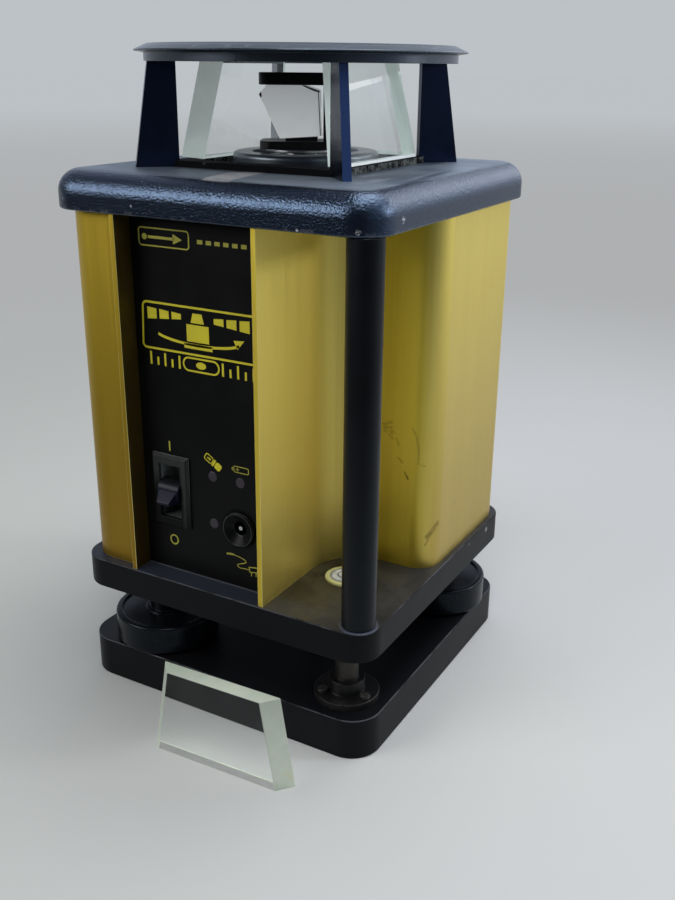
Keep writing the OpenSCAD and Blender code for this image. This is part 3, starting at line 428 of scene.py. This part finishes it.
def paddle_material():
    s = Shade("paddle_black", srgb(20, 22, 26), 0.36, 0.0, Specular_IOR_Level=0.12)
    # The lower facet is painted bluish: a painted reflection of the bluish light
    s.set("Base Color", s.mix(s.along("y", -90.5, -92.5), srgb(15, 17, 20), srgb(18, 21, 36)))
    s.bump(s.noise(1800, 2, 0.5), 0.12, 0.04)
    return s.mat


def turned_material(name, color, dull, rough, metal=1.0):
    """Turned metal with fine rings, stained towards the dull colour."""
    s = Shade(name, color, rough, metal)
    ring = s.grain(30, 30, 2500, 2, 0.5)
    s.set("Base Color", s.mix(s.mottle(60, 4, 0.6, 0.4, 0.75), color, dull))
    s.set("Roughness", s.blend(s.band(ring, 0.3, 0.7), rough * 0.8, min(1.0, rough * 1.25)))
    s.bump(ring, 0.1, 0.03)
    return s.mat


def glass_material(name, tint, density, ior):
    s = Shade(name, (1, 1, 1, 1), 0.0, 0.0, IOR=ior)
    s.set("Transmission Weight", 1.0)
    s.set("Roughness", s.blend(s.mottle(40, 4, 0.6, 0.5, 0.8), 0.0, 0.012))
    volume = s.node("ShaderNodeVolumeAbsorption", {"Color": tint, "Density": density})
    s.nt.links.new(volume.outputs[0], s.out.inputs["Volume"])
    return s.mat


def ground_glass_material(name, low, high, glow):
    # The ground edges glow with the paler colour: painted light
    s = Shade(name, low, 0.5, 0.0, IOR=1.5, Emission_Strength=glow)
    s.set("Emission Color", high)
    s.set("Transmission Weight", 0.35)
    grit = s.noise(900, 3, 0.6)
    color = s.mix(s.mottle(38, 4, 0.6, 0.35, 0.75), low, high)
    # Yellow stain on the pane that stands on the floor
    stain = s.times(s.mottle(75, 4, 0.65, 0.56, 0.7), s.along("y", -120, -130))
    s.set("Base Color", s.over(color, srgb(176, 172, 110), stain, 0.5))
    s.set("Roughness", s.blend(s.band(grit, 0.3, 0.7), 0.35, 0.55))
    s.bump(grit, 0.25, 0.05)
    return s.mat


def vial_material():
    """Liquid and bubble of the round vial, pale silver as a painted reflection of the sky in its clear top,
    with its black centre ring.
    """
    s = Shade("vial_face", srgb(196, 200, 196), 0.12, 0.0, Coat_Weight=0.6, Coat_Roughness=0.05)
    radius = s.distance(VIAL_XY)
    shade = s.mottle(130, 3, 0.6, 0.35, 0.65)
    color = s.mix(shade, srgb(176, 186, 192), srgb(236, 240, 240))
    color = s.over(color, srgb(110, 116, 116), s.band(radius, 7.2 * MM, 8.2 * MM), 0.75)
    ring = s.math("ABSOLUTE", s.math("SUBTRACT", radius, 4.2 * MM))
    s.set("Base Color", s.over(color, srgb(24, 24, 24), s.band(ring, 0.5 * MM, 0.2 * MM), 0.9))
    s.bump(shade, 0.1, 0.05)
    return s.mat


FINISH = {
    "gold": gold_material(),
    # Bright eased edges of the casing: worn metal and painted highlight
    "gold_edge": satin_material("gold_edge", srgb(244, 232, 150), 0.35, metal=0.3),
    "crinkle": crinkle_material(),
    "plate": plate_material(),
    "rod": satin_material("rod_black", srgb(10, 11, 13), 0.36, srgb(12, 13, 16), srgb(40, 42, 46),
                          (0.75, 0.87, 1, 1), level=0.2),
    "knob": satin_material("knob_black", srgb(10, 12, 15), 0.26, srgb(14, 16, 20), srgb(46, 52, 60),
                           (0.7, 0.85, 1, 1), level=0.16),
    "panel": satin_material("panel_black", srgb(7, 8, 9), 0.45, srgb(9, 10, 11), level=0.12,
                            grain=900, depth=0.04),
    "print": satin_material("yellow_print", srgb(200, 190, 30), 0.6, srgb(186, 176, 30)),
    "fine_print": satin_material("yellow_line", srgb(164, 160, 54), 0.6, srgb(146, 143, 50)),
    "fin": fin_material(),
    "cap": satin_material("cap_slate", srgb(6, 8, 13), 0.28, srgb(9, 12, 18), srgb(90, 98, 112),
                          (0.65, 0.8, 1, 1), ior=1.85),
    "plinth": plinth_material(),
    "collar": satin_material("collar_dark", srgb(18, 22, 30), 0.34, srgb(28, 33, 42), srgb(84, 88, 96),
                             (0.75, 0.88, 1, 1), ior=1.9),
    "cage": satin_material("rotor_black", srgb(6, 7, 8), 0.4, srgb(9, 10, 11), level=0.25),
    "switch": switch_material(),
    "paddle": paddle_material(),
    "socket": satin_material("socket_black", srgb(6, 7, 8), 0.34, srgb(8, 9, 10), level=0.1,
                             grain=2200, depth=0.01),
    "socket_rim": satin_material("socket_rim", srgb(12, 14, 16), 0.2, level=0.6, grain=2200, depth=0.01),
    "lamp": satin_material("lamp_unlit", srgb(56, 51, 58), 0.3, srgb(48, 44, 50), level=0.3),
    "panel_foot": satin_material("panel_foot_edge", srgb(70, 74, 82), 0.5),
    "steel": turned_material("steel", srgb(196, 198, 202), srgb(160, 160, 162), 0.22),
    "aged_steel": turned_material("steel_aged", srgb(70, 69, 66), srgb(34, 34, 33), 0.4, 0.5),
    "screw": turned_material("screw_black", srgb(34, 35, 37), srgb(24, 24, 26), 0.42, 0.7),
    # The rod's foot washer is painted light bluish: a painted highlight
    "washer": satin_material("washer_painted_highlight", srgb(66, 72, 88), 0.35, srgb(54, 60, 74)),
    "pivot": pivot_material(),
    "brass": turned_material("brass_aged", srgb(168, 134, 76), srgb(120, 92, 54), 0.34),
    "ink": satin_material("black_edge", srgb(18, 18, 19), 0.5),
    # The prism's ground faces glow: painted light inside the shaded head
    "prism": satin_material("prism_ground", srgb(212, 216, 217), 0.7, srgb(222, 226, 227), glow=0.34,
                            grain=2500, depth=0.02),
    # The sealant bead glows white: painted highlight
    "bead": satin_material("sealant_bead", srgb(222, 230, 230), 0.4, srgb(230, 236, 234), glow=0.2),
    "vial": satin_material("vial_ring", srgb(196, 196, 128), 0.3, srgb(210, 208, 150)),
    "vial_face": vial_material(),
    "board": satin_material("board_green", srgb(26, 84, 52), 0.4, srgb(20, 70, 44)),
    "battery": satin_material("battery_grey", srgb(88, 92, 98), 0.5, srgb(76, 80, 86)),
    "motor": satin_material("motor_grey", srgb(120, 122, 126), 0.35, metal=0.8),
    "belt": satin_material("belt_rubber", srgb(24, 24, 24), 0.7),
    "window": glass_material("window_glass", srgb(214, 236, 224), 10.0, 1.36),
    "loose_window": glass_material("loose_glass", srgb(214, 236, 224), 10.0, 1.24),
    "window_edge": ground_glass_material("ground_glass", srgb(180, 194, 192), srgb(196, 208, 204), 0.3),
    "loose_edge": ground_glass_material("loose_ground_glass", srgb(164, 176, 162), srgb(184, 192, 176), 0.14),
    "optic": glass_material("optic_glass", srgb(236, 244, 240), 4.0, 1.5),
}

# CAD nodes that keep their own mesh, by finish
PLAIN_NODES = {
    "plate": "base_plate chassis_plate laser_tube",
    "crinkle": "top_cover",
    "vial_face": "vial_capsule",
    "screw": "left_screw right_screw",
    "brass": "tripod_bush levelling_bushes gimbal_ring laser_module pendulum_weight",
    "steel": "lower_spring_anchor upper_spring_anchor hold_down_spring pivot_ball left_pad right_pad "
             "rod_studs tie_rods tie_nuts board_standoffs battery_strap upper_bearing lower_bearing "
             "motor_bracket spindle spindle_nut compensator_bracket damper_cup charger_pin cap_screws",
    "motor": "motor motor_pulley spindle_pulley",
    "belt": "drive_belt",
    "board": "circuit_board",
    "battery": "battery_pack",
    "optic": "collimator_lens",
}

# CAD nodes redrawn with eased edges: node, piece, body, finish, edge width, segments, and any edge finish
SOFTENED_NODES = (
    ("casing", "casing_shell", "chassis", "gold", 0.35, 2, "gold_edge"),
    ("control_panel", "panel_plate", "chassis", "panel", 0.25, 2),
    ("handle_rod", "corner_rod", "chassis", "rod", 0.6, 2),
    ("rod_washer", "rod_foot_washer", "chassis", "washer", 0.2, 2),
    ("left_knob", "left_hand_wheel", "left_levelling_knob", "knob", 0.9, 4),
    ("right_knob", "right_hand_wheel", "right_levelling_knob", "knob", 0.9, 4),
    ("head_fins", "fins", "chassis", "fin", 0.4, 2),
    ("cap", "head_cap", "chassis", "cap", 0.35, 2),
    ("window_plinth", "plinth_ring", "chassis", "plinth", 0.3, 2),
    ("bearing_housing", "rotor_collar", "chassis", "collar", 0.3, 2),
    ("rotor_frame", "rotor_cage", "rotor", "cage", 0.4, 2),
    ("switch_housing", "switch_bezel", "chassis", "switch", 0.5, 3),
    ("switch_rocker", "switch_paddle", "rocker", "paddle", 0.4, 3),
    ("charger_socket", "socket_flange", "chassis", "socket", 0.4, 2, "socket_rim"),
    ("status_lamps", "lamps", "chassis", "lamp", 0.4, 3),
    ("vial_body", "vial_ring", "chassis", "vial", 0.2, 2),
    ("pivot_post", "pivot_foot", "base", "pivot", 0.3, 2),
    ("pivot_screws", "pivot_foot_screws", "base", "aged_steel", 0.15, 2),
)


def link(obj):
    bpy.context.collection.objects.link(obj)
    return obj


def smooth(obj):
    me = obj.data
    me.polygons.foreach_set("use_smooth", [True] * len(me.polygons))
    me.set_sharp_from_angle(angle=math.radians(35.0))
    me.update()


def ease_edges(obj, width, segments, angle=30.0, edge_material=-1):
    bevel = obj.modifiers.new("edges", "BEVEL")
    bevel.width = width * MM
    bevel.segments = segments
    bevel.limit_method = "ANGLE"
    bevel.angle_limit = math.radians(angle)
    bevel.material = edge_material
    bevel.use_clamp_overlap = True
    even = obj.modifiers.new("normals", "WEIGHTED_NORMAL")
    even.keep_sharp = True
    even.weight = 80


def redraw(node, name, body, finish):
    """The node's own shape as a piece, with doubled points and flat seams cleaned."""
    me = NODES[node].data.copy()
    me.materials.clear()
    me.materials.append(FINISH[finish])
    obj = link(bpy.data.objects.new(name, me))
    bm = bmesh.new()
    bm.from_mesh(me)
    bmesh.ops.remove_doubles(bm, verts=bm.verts, dist=2e-6)
    bmesh.ops.dissolve_limit(bm, angle_limit=math.radians(0.4), verts=bm.verts, edges=bm.edges)
    for face in bm.faces:
        face.material_index = 0
    bm.to_mesh(me)
    bm.free()
    smooth(obj)
    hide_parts(node)
    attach(obj, body)
    return obj


def soften(node, name, body, finish, width, segments, edge=None):
    """A redrawn node with eased edges, which may have a finish of their own."""
    obj = redraw(node, name, body, finish)
    if edge:
        obj.data.materials.append(FINISH[edge])
    ease_edges(obj, width, segments, edge_material=1 if edge else -1)


def pane_set(node, name, body, clear_area, width, clear, edge, shadow=False):
    """Flat-faced glass: undersides, and faces over the clear area in mm2, are clear, and the rest is ground."""
    obj = redraw(node, name, body, clear)
    me = obj.data
    me.materials.append(FINISH[edge])
    for poly in me.polygons:
        poly.use_smooth = False
        poly.material_index = 0 if poly.area > clear_area * MM * MM or poly.normal.z < -0.99 else 1
    ease_edges(obj, width, 2, 25.0, 1)
    obj.visible_shadow = shadow


def tile(name, shapes, place, finish, body, thickness, sunk=TILE_SUNK):
    """Thin flat shapes laid on a face; place turns u, w and height into x, y, z."""
    verts, faces = [], []
    for shape in shapes:
        base = len(verts)
        n = len(shape)
        verts += [place(u, w, thickness) for u, w in shape] + [place(u, w, -sunk) for u, w in shape]
        faces.append(list(range(base, base + n)))
        faces.append(list(range(base + 2 * n - 1, base + n - 1, -1)))
        faces += [[base + i, base + n + i, base + n + (i + 1) % n, base + (i + 1) % n] for i in range(n)]
    me = bpy.data.meshes.new(name)
    me.from_pydata([tuple(c * MM for c in v) for v in verts], [], faces)
    me.materials.append(FINISH[finish])
    me.validate()
    obj = link(bpy.data.objects.new(name, me))
    bm = bmesh.new()
    bm.from_mesh(me)
    bmesh.ops.recalc_face_normals(bm, faces=bm.faces)
    bm.to_mesh(me)
    bm.free()
    smooth(obj)
    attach(obj, body)


def on_panel(u, w, height):
    return (u, PANEL_FRONT - height, w)


def on_right_pane(u, w, height):
    """Face along the foot of the right pane, leaning out downwards."""
    return (BEAD_FACE + height + (BEAD_TOP - w) * BEAD_LEAN, u, w)


def on_prism(u, w, height):
    """Front face of the prism at rest."""
    face = PRISM_FRONT + height
    return (u * ACROSS_X + face * ACROSS_Y, u * ACROSS_Y - face * ACROSS_X, w)


def ribbon(points, width, closed=False):
    """Quads along a line of points, mitred at its corners."""
    n = len(points)
    pts = [Vector(p) for p in points]
    left, right = [], []
    for i, p in enumerate(pts):
        before = pts[(i - 1) % n] if closed or i > 0 else None
        after = pts[(i + 1) % n] if closed or i < n - 1 else None
        a = (p - before).normalized() if before is not None else (after - p).normalized()
        b = (after - p).normalized() if after is not None else a
        na, nb = Vector((-a.y, a.x)), Vector((-b.y, b.x))
        m = (na + nb).normalized()
        k = (width / 2) / max(0.4, m.dot(na))
        left.append(p + m * k)
        right.append(p - m * k)
    last = n if closed else n - 1
    return [[left[i], left[(i + 1) % n], right[(i + 1) % n], right[i]] for i in range(last)]


def arc(cx, cy, rx, ry, start, end, steps):
    angles = [math.radians(start + (end - start) * i / steps) for i in range(steps + 1)]
    return [(cx + rx * math.cos(a), cy + ry * math.sin(a)) for a in angles]


def box(x0, x1, z0, z1):
    return [(x0, z0), (x1, z0), (x1, z1), (x0, z1)]


def round_box(x0, x1, z0, z1, r, lean=0.0):
    corners = ((x1 - r, z1 - r, 0), (x0 + r, z1 - r, 90), (x0 + r, z0 + r, 180), (x1 - r, z0 + r, 270))
    pts = []
    for cx, cz, start in corners:
        pts += arc(cx, cz, r, r, start, start + 90, 6)
    return [(x + lean * (z - z0), z) for x, z in pts]


def turned(shapes, cx, cz, angle):
    """Shapes turned about their origin and moved to a centre."""
    c, s = math.cos(math.radians(angle)), math.sin(math.radians(angle))
    return [[(cx + x * c - z * s, cz + x * s + z * c) for x, z in shape] for shape in shapes]


def decal(name, shapes, finish):
    tile(name, shapes, on_panel, finish, "chassis", PRINT_DEPTH, PRINT_SUNK)


def print_beam_arrow():
    shapes = ribbon(round_box(-50.2, -16.6, 276.7, 286.2, 1.8), 0.75, True)
    shapes += ribbon([(-44, 281.4), (-26, 281.4)], 1.5) + [[(-27, 284.2), (-21, 281.4), (-27, 278.6)]]
    shapes += [arc(-46.4, 281.4, 1.7, 1.7, 0, 342, 18)]
    dash, pitch = 3.4, 5.6
    shapes += [box(-11 + pitch * k, -11 + dash + pitch * k, 280.3, 282.5) for k in range(6)]
    decal("print_beam_arrow", shapes, "fine_print")


def print_rotating_beam():
    """A turning head on its body, with wedges of light to both sides."""
    shapes = ribbon(round_box(-51.5, 27, 219.4, 245.6, 2.6, 0.05), 1.2, True)
    shapes += [box(-22.5, -3.5, 222.6, 225.4), box(-20.5, -5.5, 226.6, 236.2)]
    shapes += [[(-17.5, 237.2), (-8.5, 237.2), (-10, 242.6), (-16, 242.6)]]
    for k in range(3):
        near_low, near_high = 238.2 - 0.8 * k, 241.2 + 0.5 * k
        far_low, far_high = 237.6 - 0.8 * k, 241.8 + 0.5 * k
        for start, way in ((-24, -1), (-2, 1)):
            x0 = start + way * 8.4 * k
            x1 = x0 + way * 6.4
            shapes += [[(x0, near_low), (x1, far_low), (x1, far_high), (x0, near_high)]]
    shapes += ribbon(arc(-13, 230.2, 29, 5.4, 200, 340, 24), 1.5)
    shapes += [[(13.2, 226.2), (17.6, 231.6), (10.6, 231.0)]]
    decal("print_rotating_beam", shapes, "print")


def print_level_scale():
    low, high, short = 209.9, 217.3, 214.6
    shapes = []
    for start in (-47, 2.4):
        shapes += [box(start + 5 * k, start + 1.3 + 5 * k, low, short if k % 2 else high) for k in range(5)]
    shapes += ribbon(round_box(-23.6, 0.4, low, high, 3.6), 1.0, True)
    shapes += [arc(-11.6, 213.6, 3.4, 2.0, 0, 345, 23)]
    decal("print_level_scale", shapes, "print")


def print_switch_marks():
    decal("print_on_mark", [box(-37.1, -36.1, 159.0, 164.9)], "fine_print")
    decal("print_off_mark", ribbon(arc(-36.6, 102.0, 2.7, 2.9, 0, 350, 35), 0.9, True), "fine_print")


def print_cell_marks():
    charging = ribbon(round_box(-6.2, -0.6, -2.0, 2.0, 1.0), 0.55, True)
    charging += [box(-0.1, 1.3, -2.2, 2.2), round_box(1.8, 6.2, -2.2, 2.2, 1.2), box(-4.6, -1.9, -0.45, 0.45)]
    decal("print_cell_charging", turned(charging, -5.9, 157.9, -33), "print")
    low = ribbon(round_box(8.4, 18.2, 155.2, 158.7, 0.8), 0.45, True)
    low += ribbon([(8.4, 156.1), (7.2, 156.4), (7.2, 157.5), (8.4, 157.8)], 0.45)
    low += [box(9.6, 12.0, 156.75, 157.15), box(10.6, 11.0, 155.8, 158.1)]
    decal("print_cell_low", low, "fine_print")


def print_plug_lead():
    lead = [(6.6, 102.9), (11.0, 102.2), (14.4, 101.2), (15.2, 100.0), (13.4, 98.9), (10.4, 97.8),
            (9.0, 96.9), (9.4, 95.8), (11.2, 95.3), (14.2, 95.7), (17.2, 95.7)]
    shapes = ribbon([(1.6, 102.3), (3.4, 102.8), (6.6, 102.9)], 1.1) + ribbon(lead, 0.5)
    shapes += ribbon([(17.2, 97.4), (23.0, 98.3), (23.0, 95.2), (17.6, 94.4)], 0.6, True)
    shapes += [box(18.4, 19.0, 92.0, 94.5), box(21.6, 22.2, 92.5, 95.0)]
    decal("print_plug_lead", shapes, "fine_print")


def ground():
    """Pale floor, in metres: lit near the object, glowing farther out, with painted shade to the left and
    towards the camera.
    """
    s = Shade("pale_floor", srgb(186, 189, 190), 0.8)
    x, y, _ = s.split(s.geo.outputs["Position"])
    flat = s.math("SQRT", s.math("ADD", s.times(x, x), s.times(y, y)))
    across = s.math("ADD", s.times(x, ACROSS_X), s.times(y, ACROSS_Y))
    depth = s.math("SUBTRACT", s.times(y, ACROSS_X), s.times(x, ACROSS_Y))
    side = s.mix(s.band(across, -0.4, 0.35), srgb(180, 183, 181), srgb(197, 200, 203))
    far = s.mix(s.band(flat, 0.4, 1.3), side, srgb(174, 176, 178))
    far = s.mix(s.band(flat, 2.0, 9.0), far, srgb(188, 193, 197))
    left = s.band(s.math("ADD", across, s.times(depth, 0.3)), -0.24, -0.6)
    dim = s.math("MAXIMUM", s.times(left, s.band(depth, 0.5, -0.05)), s.band(depth, -0.28, -0.75))
    shade = s.mix(s.band(across, -0.3, 0.2), srgb(166, 168, 165), srgb(174, 176, 177))
    s.set("Base Color", s.mix(dim, shade, srgb(80, 82, 84)))
    glow = s.node("ShaderNodeEmission", {"Color": s.mix(dim, far, srgb(66, 68, 70))})
    outward = s.band(flat, 0.2, 1.0)
    join = s.node("ShaderNodeMixShader", {0: outward, 1: s.bsdf.outputs[0], 2: glow.outputs[0]})
    s.nt.links.new(join.outputs[0], s.out.inputs["Surface"])
    me = bpy.data.meshes.new("floor")
    bm = bmesh.new()
    bmesh.ops.create_circle(bm, cap_ends=True, segments=96, radius=40.0)
    bm.to_mesh(me)
    bm.free()
    me.materials.append(s.mat)
    obj = link(bpy.data.objects.new("floor", me))


def area(name, position, target, size, power, color):
    """A rectangular lamp. Positions and sizes are in metres, the power in watts."""
    data = bpy.data.lights.new(name, "AREA")
    data.shape = "RECTANGLE"
    data.size, data.size_y = size
    data.energy = power
    data.color = color
    obj = link(bpy.data.objects.new(name, data))
    obj.location = position
    direction = Vector(target) - Vector(position)
    obj.rotation_euler = direction.to_track_quat("-Z", "Y").to_euler()


def world():
    """A pale room, brighter behind the object. The camera, and rays through glass, see a plain backdrop."""
    w = bpy.data.worlds.new("studio")
    bpy.context.scene.world = w
    w.use_nodes = True
    nt = w.node_tree
    add = nt.nodes.new

    def band(value, low, high, a, b):
        n = add("ShaderNodeMapRange")
        nt.links.new(value, n.inputs["Value"])
        for key, v in (("From Min", low), ("From Max", high), ("To Min", a), ("To Max", b)):
            n.inputs[key].default_value = v
        return n.outputs[0]

    def combine(op, a, b):
        n = add("ShaderNodeMath")
        n.operation = op
        nt.links.new(a, n.inputs[0])
        nt.links.new(b, n.inputs[1])
        return n.outputs[0]

    def background(color):
        n = add("ShaderNodeBackground")
        n.inputs["Color"].default_value = color
        return n

    way = add("ShaderNodeSeparateXYZ")
    nt.links.new(add("ShaderNodeTexCoord").outputs["Generated"], way.inputs[0])
    lean = combine("ADD", band(way.outputs[0], -1, 1, -0.25, 0.25), band(way.outputs[1], -1, 1, -0.95, 0.95))
    height = band(way.outputs[2], 0.0, 0.9, 0.9, 1.0)
    room = background(srgb(206, 216, 232))
    nt.links.new(combine("MULTIPLY", height, band(lean, -0.5, 0.55, 0.12, 1.15)), room.inputs["Strength"])
    plain = background(srgb(188, 194, 198))
    path = add("ShaderNodeLightPath")
    seen = combine("MAXIMUM", path.outputs["Is Camera Ray"], path.outputs["Is Transmission Ray"])
    join = add("ShaderNodeMixShader")
    nt.links.new(seen, join.inputs[0])
    nt.links.new(room.outputs[0], join.inputs[1])
    nt.links.new(plain.outputs[0], join.inputs[2])
    nt.links.new(join.outputs[0], nt.nodes["World Output"].inputs["Surface"])


look(CAMERA_AT, CAMERA_AZIMUTH, CAMERA_ELEVATION, CAMERA_ROLL, CAMERA_LENS)

for finish, nodes in PLAIN_NODES.items():
    for node in nodes.split():
        materials = NODES[node].data.materials
        materials.clear()
        materials.append(FINISH[finish])
for row in SOFTENED_NODES:
    soften(*row)
pane_set("window_panes", "head_windows", "chassis", 2600, 0.45, "window", "window_edge")
pane_set("loose_window", "loose_pane", "base", 2600, 0.5, "loose_window", "loose_edge")
pane_set("pentaprism", "prism_block", "rotor", 10, 0.35, "prism", "prism", shadow=True)

# Blackened edges of the prism's front face
tile("prism_edges", [
    [(0.2, 358.1), (2.2, 358.1), (10.4, 355.3), (10.4, 354.5), (7.2, 355.2)],
    [(9.4, 355.0), (9.9, 355.0), (11.1, 331.6), (10.6, 331.6)],
    [(-23.4, 353.3), (-22.2, 354.7), (-21.8, 352.6), (-22.3, 351.2)],
], on_prism, "ink", "rotor", INK_DEPTH)
# Grey edge along the foot of the control panel
panel_foot = box(PANEL_LEFT, PANEL_RIGHT, PLATE_TOP, PLATE_TOP + 0.65)
tile("panel_foot_edge", [panel_foot], on_panel, "panel_foot", "chassis", EDGE_DEPTH)
# Sealant along the foot of the right pane, glowing white as a painted highlight
tile("pane_bead", [box(-47.5, 47.5, BEAD_FOOT, BEAD_TOP)], on_right_pane, "bead", "chassis", EDGE_DEPTH)

print_beam_arrow()
print_rotating_beam()
print_level_scale()
print_switch_marks()
print_cell_marks()
print_plug_lead()

ground()
world()
area("overhead", (0.3, 0.2, 1.55), (0, 0, 0.2), (0.9, 0.9), 14, (1.0, 0.975, 0.94))
area("left_window", (-0.93, -1.25, 0.90), (0, -0.1, 0.31), (1.0, 0.65), 15, (1.0, 0.985, 0.97))
area("right_window", (0.82, 1.63, 1.0), (0, 0, 0.3), (1.6, 0.8), 6.5, (1.0, 0.985, 0.97))
area("right_lamp", (1.43, 0.70, 0.71), (0.1, -0.09, 0.31), (0.2, 0.2), 6.5, (1.0, 0.99, 0.98))
area("ceiling_lamp", (0.33, -0.6, 1.49), (0.1, -0.1, 0.28), (0.38, 0.38), 6, (1.0, 0.98, 0.95))
bpy.context.scene.view_settings.view_transform = "Standard"
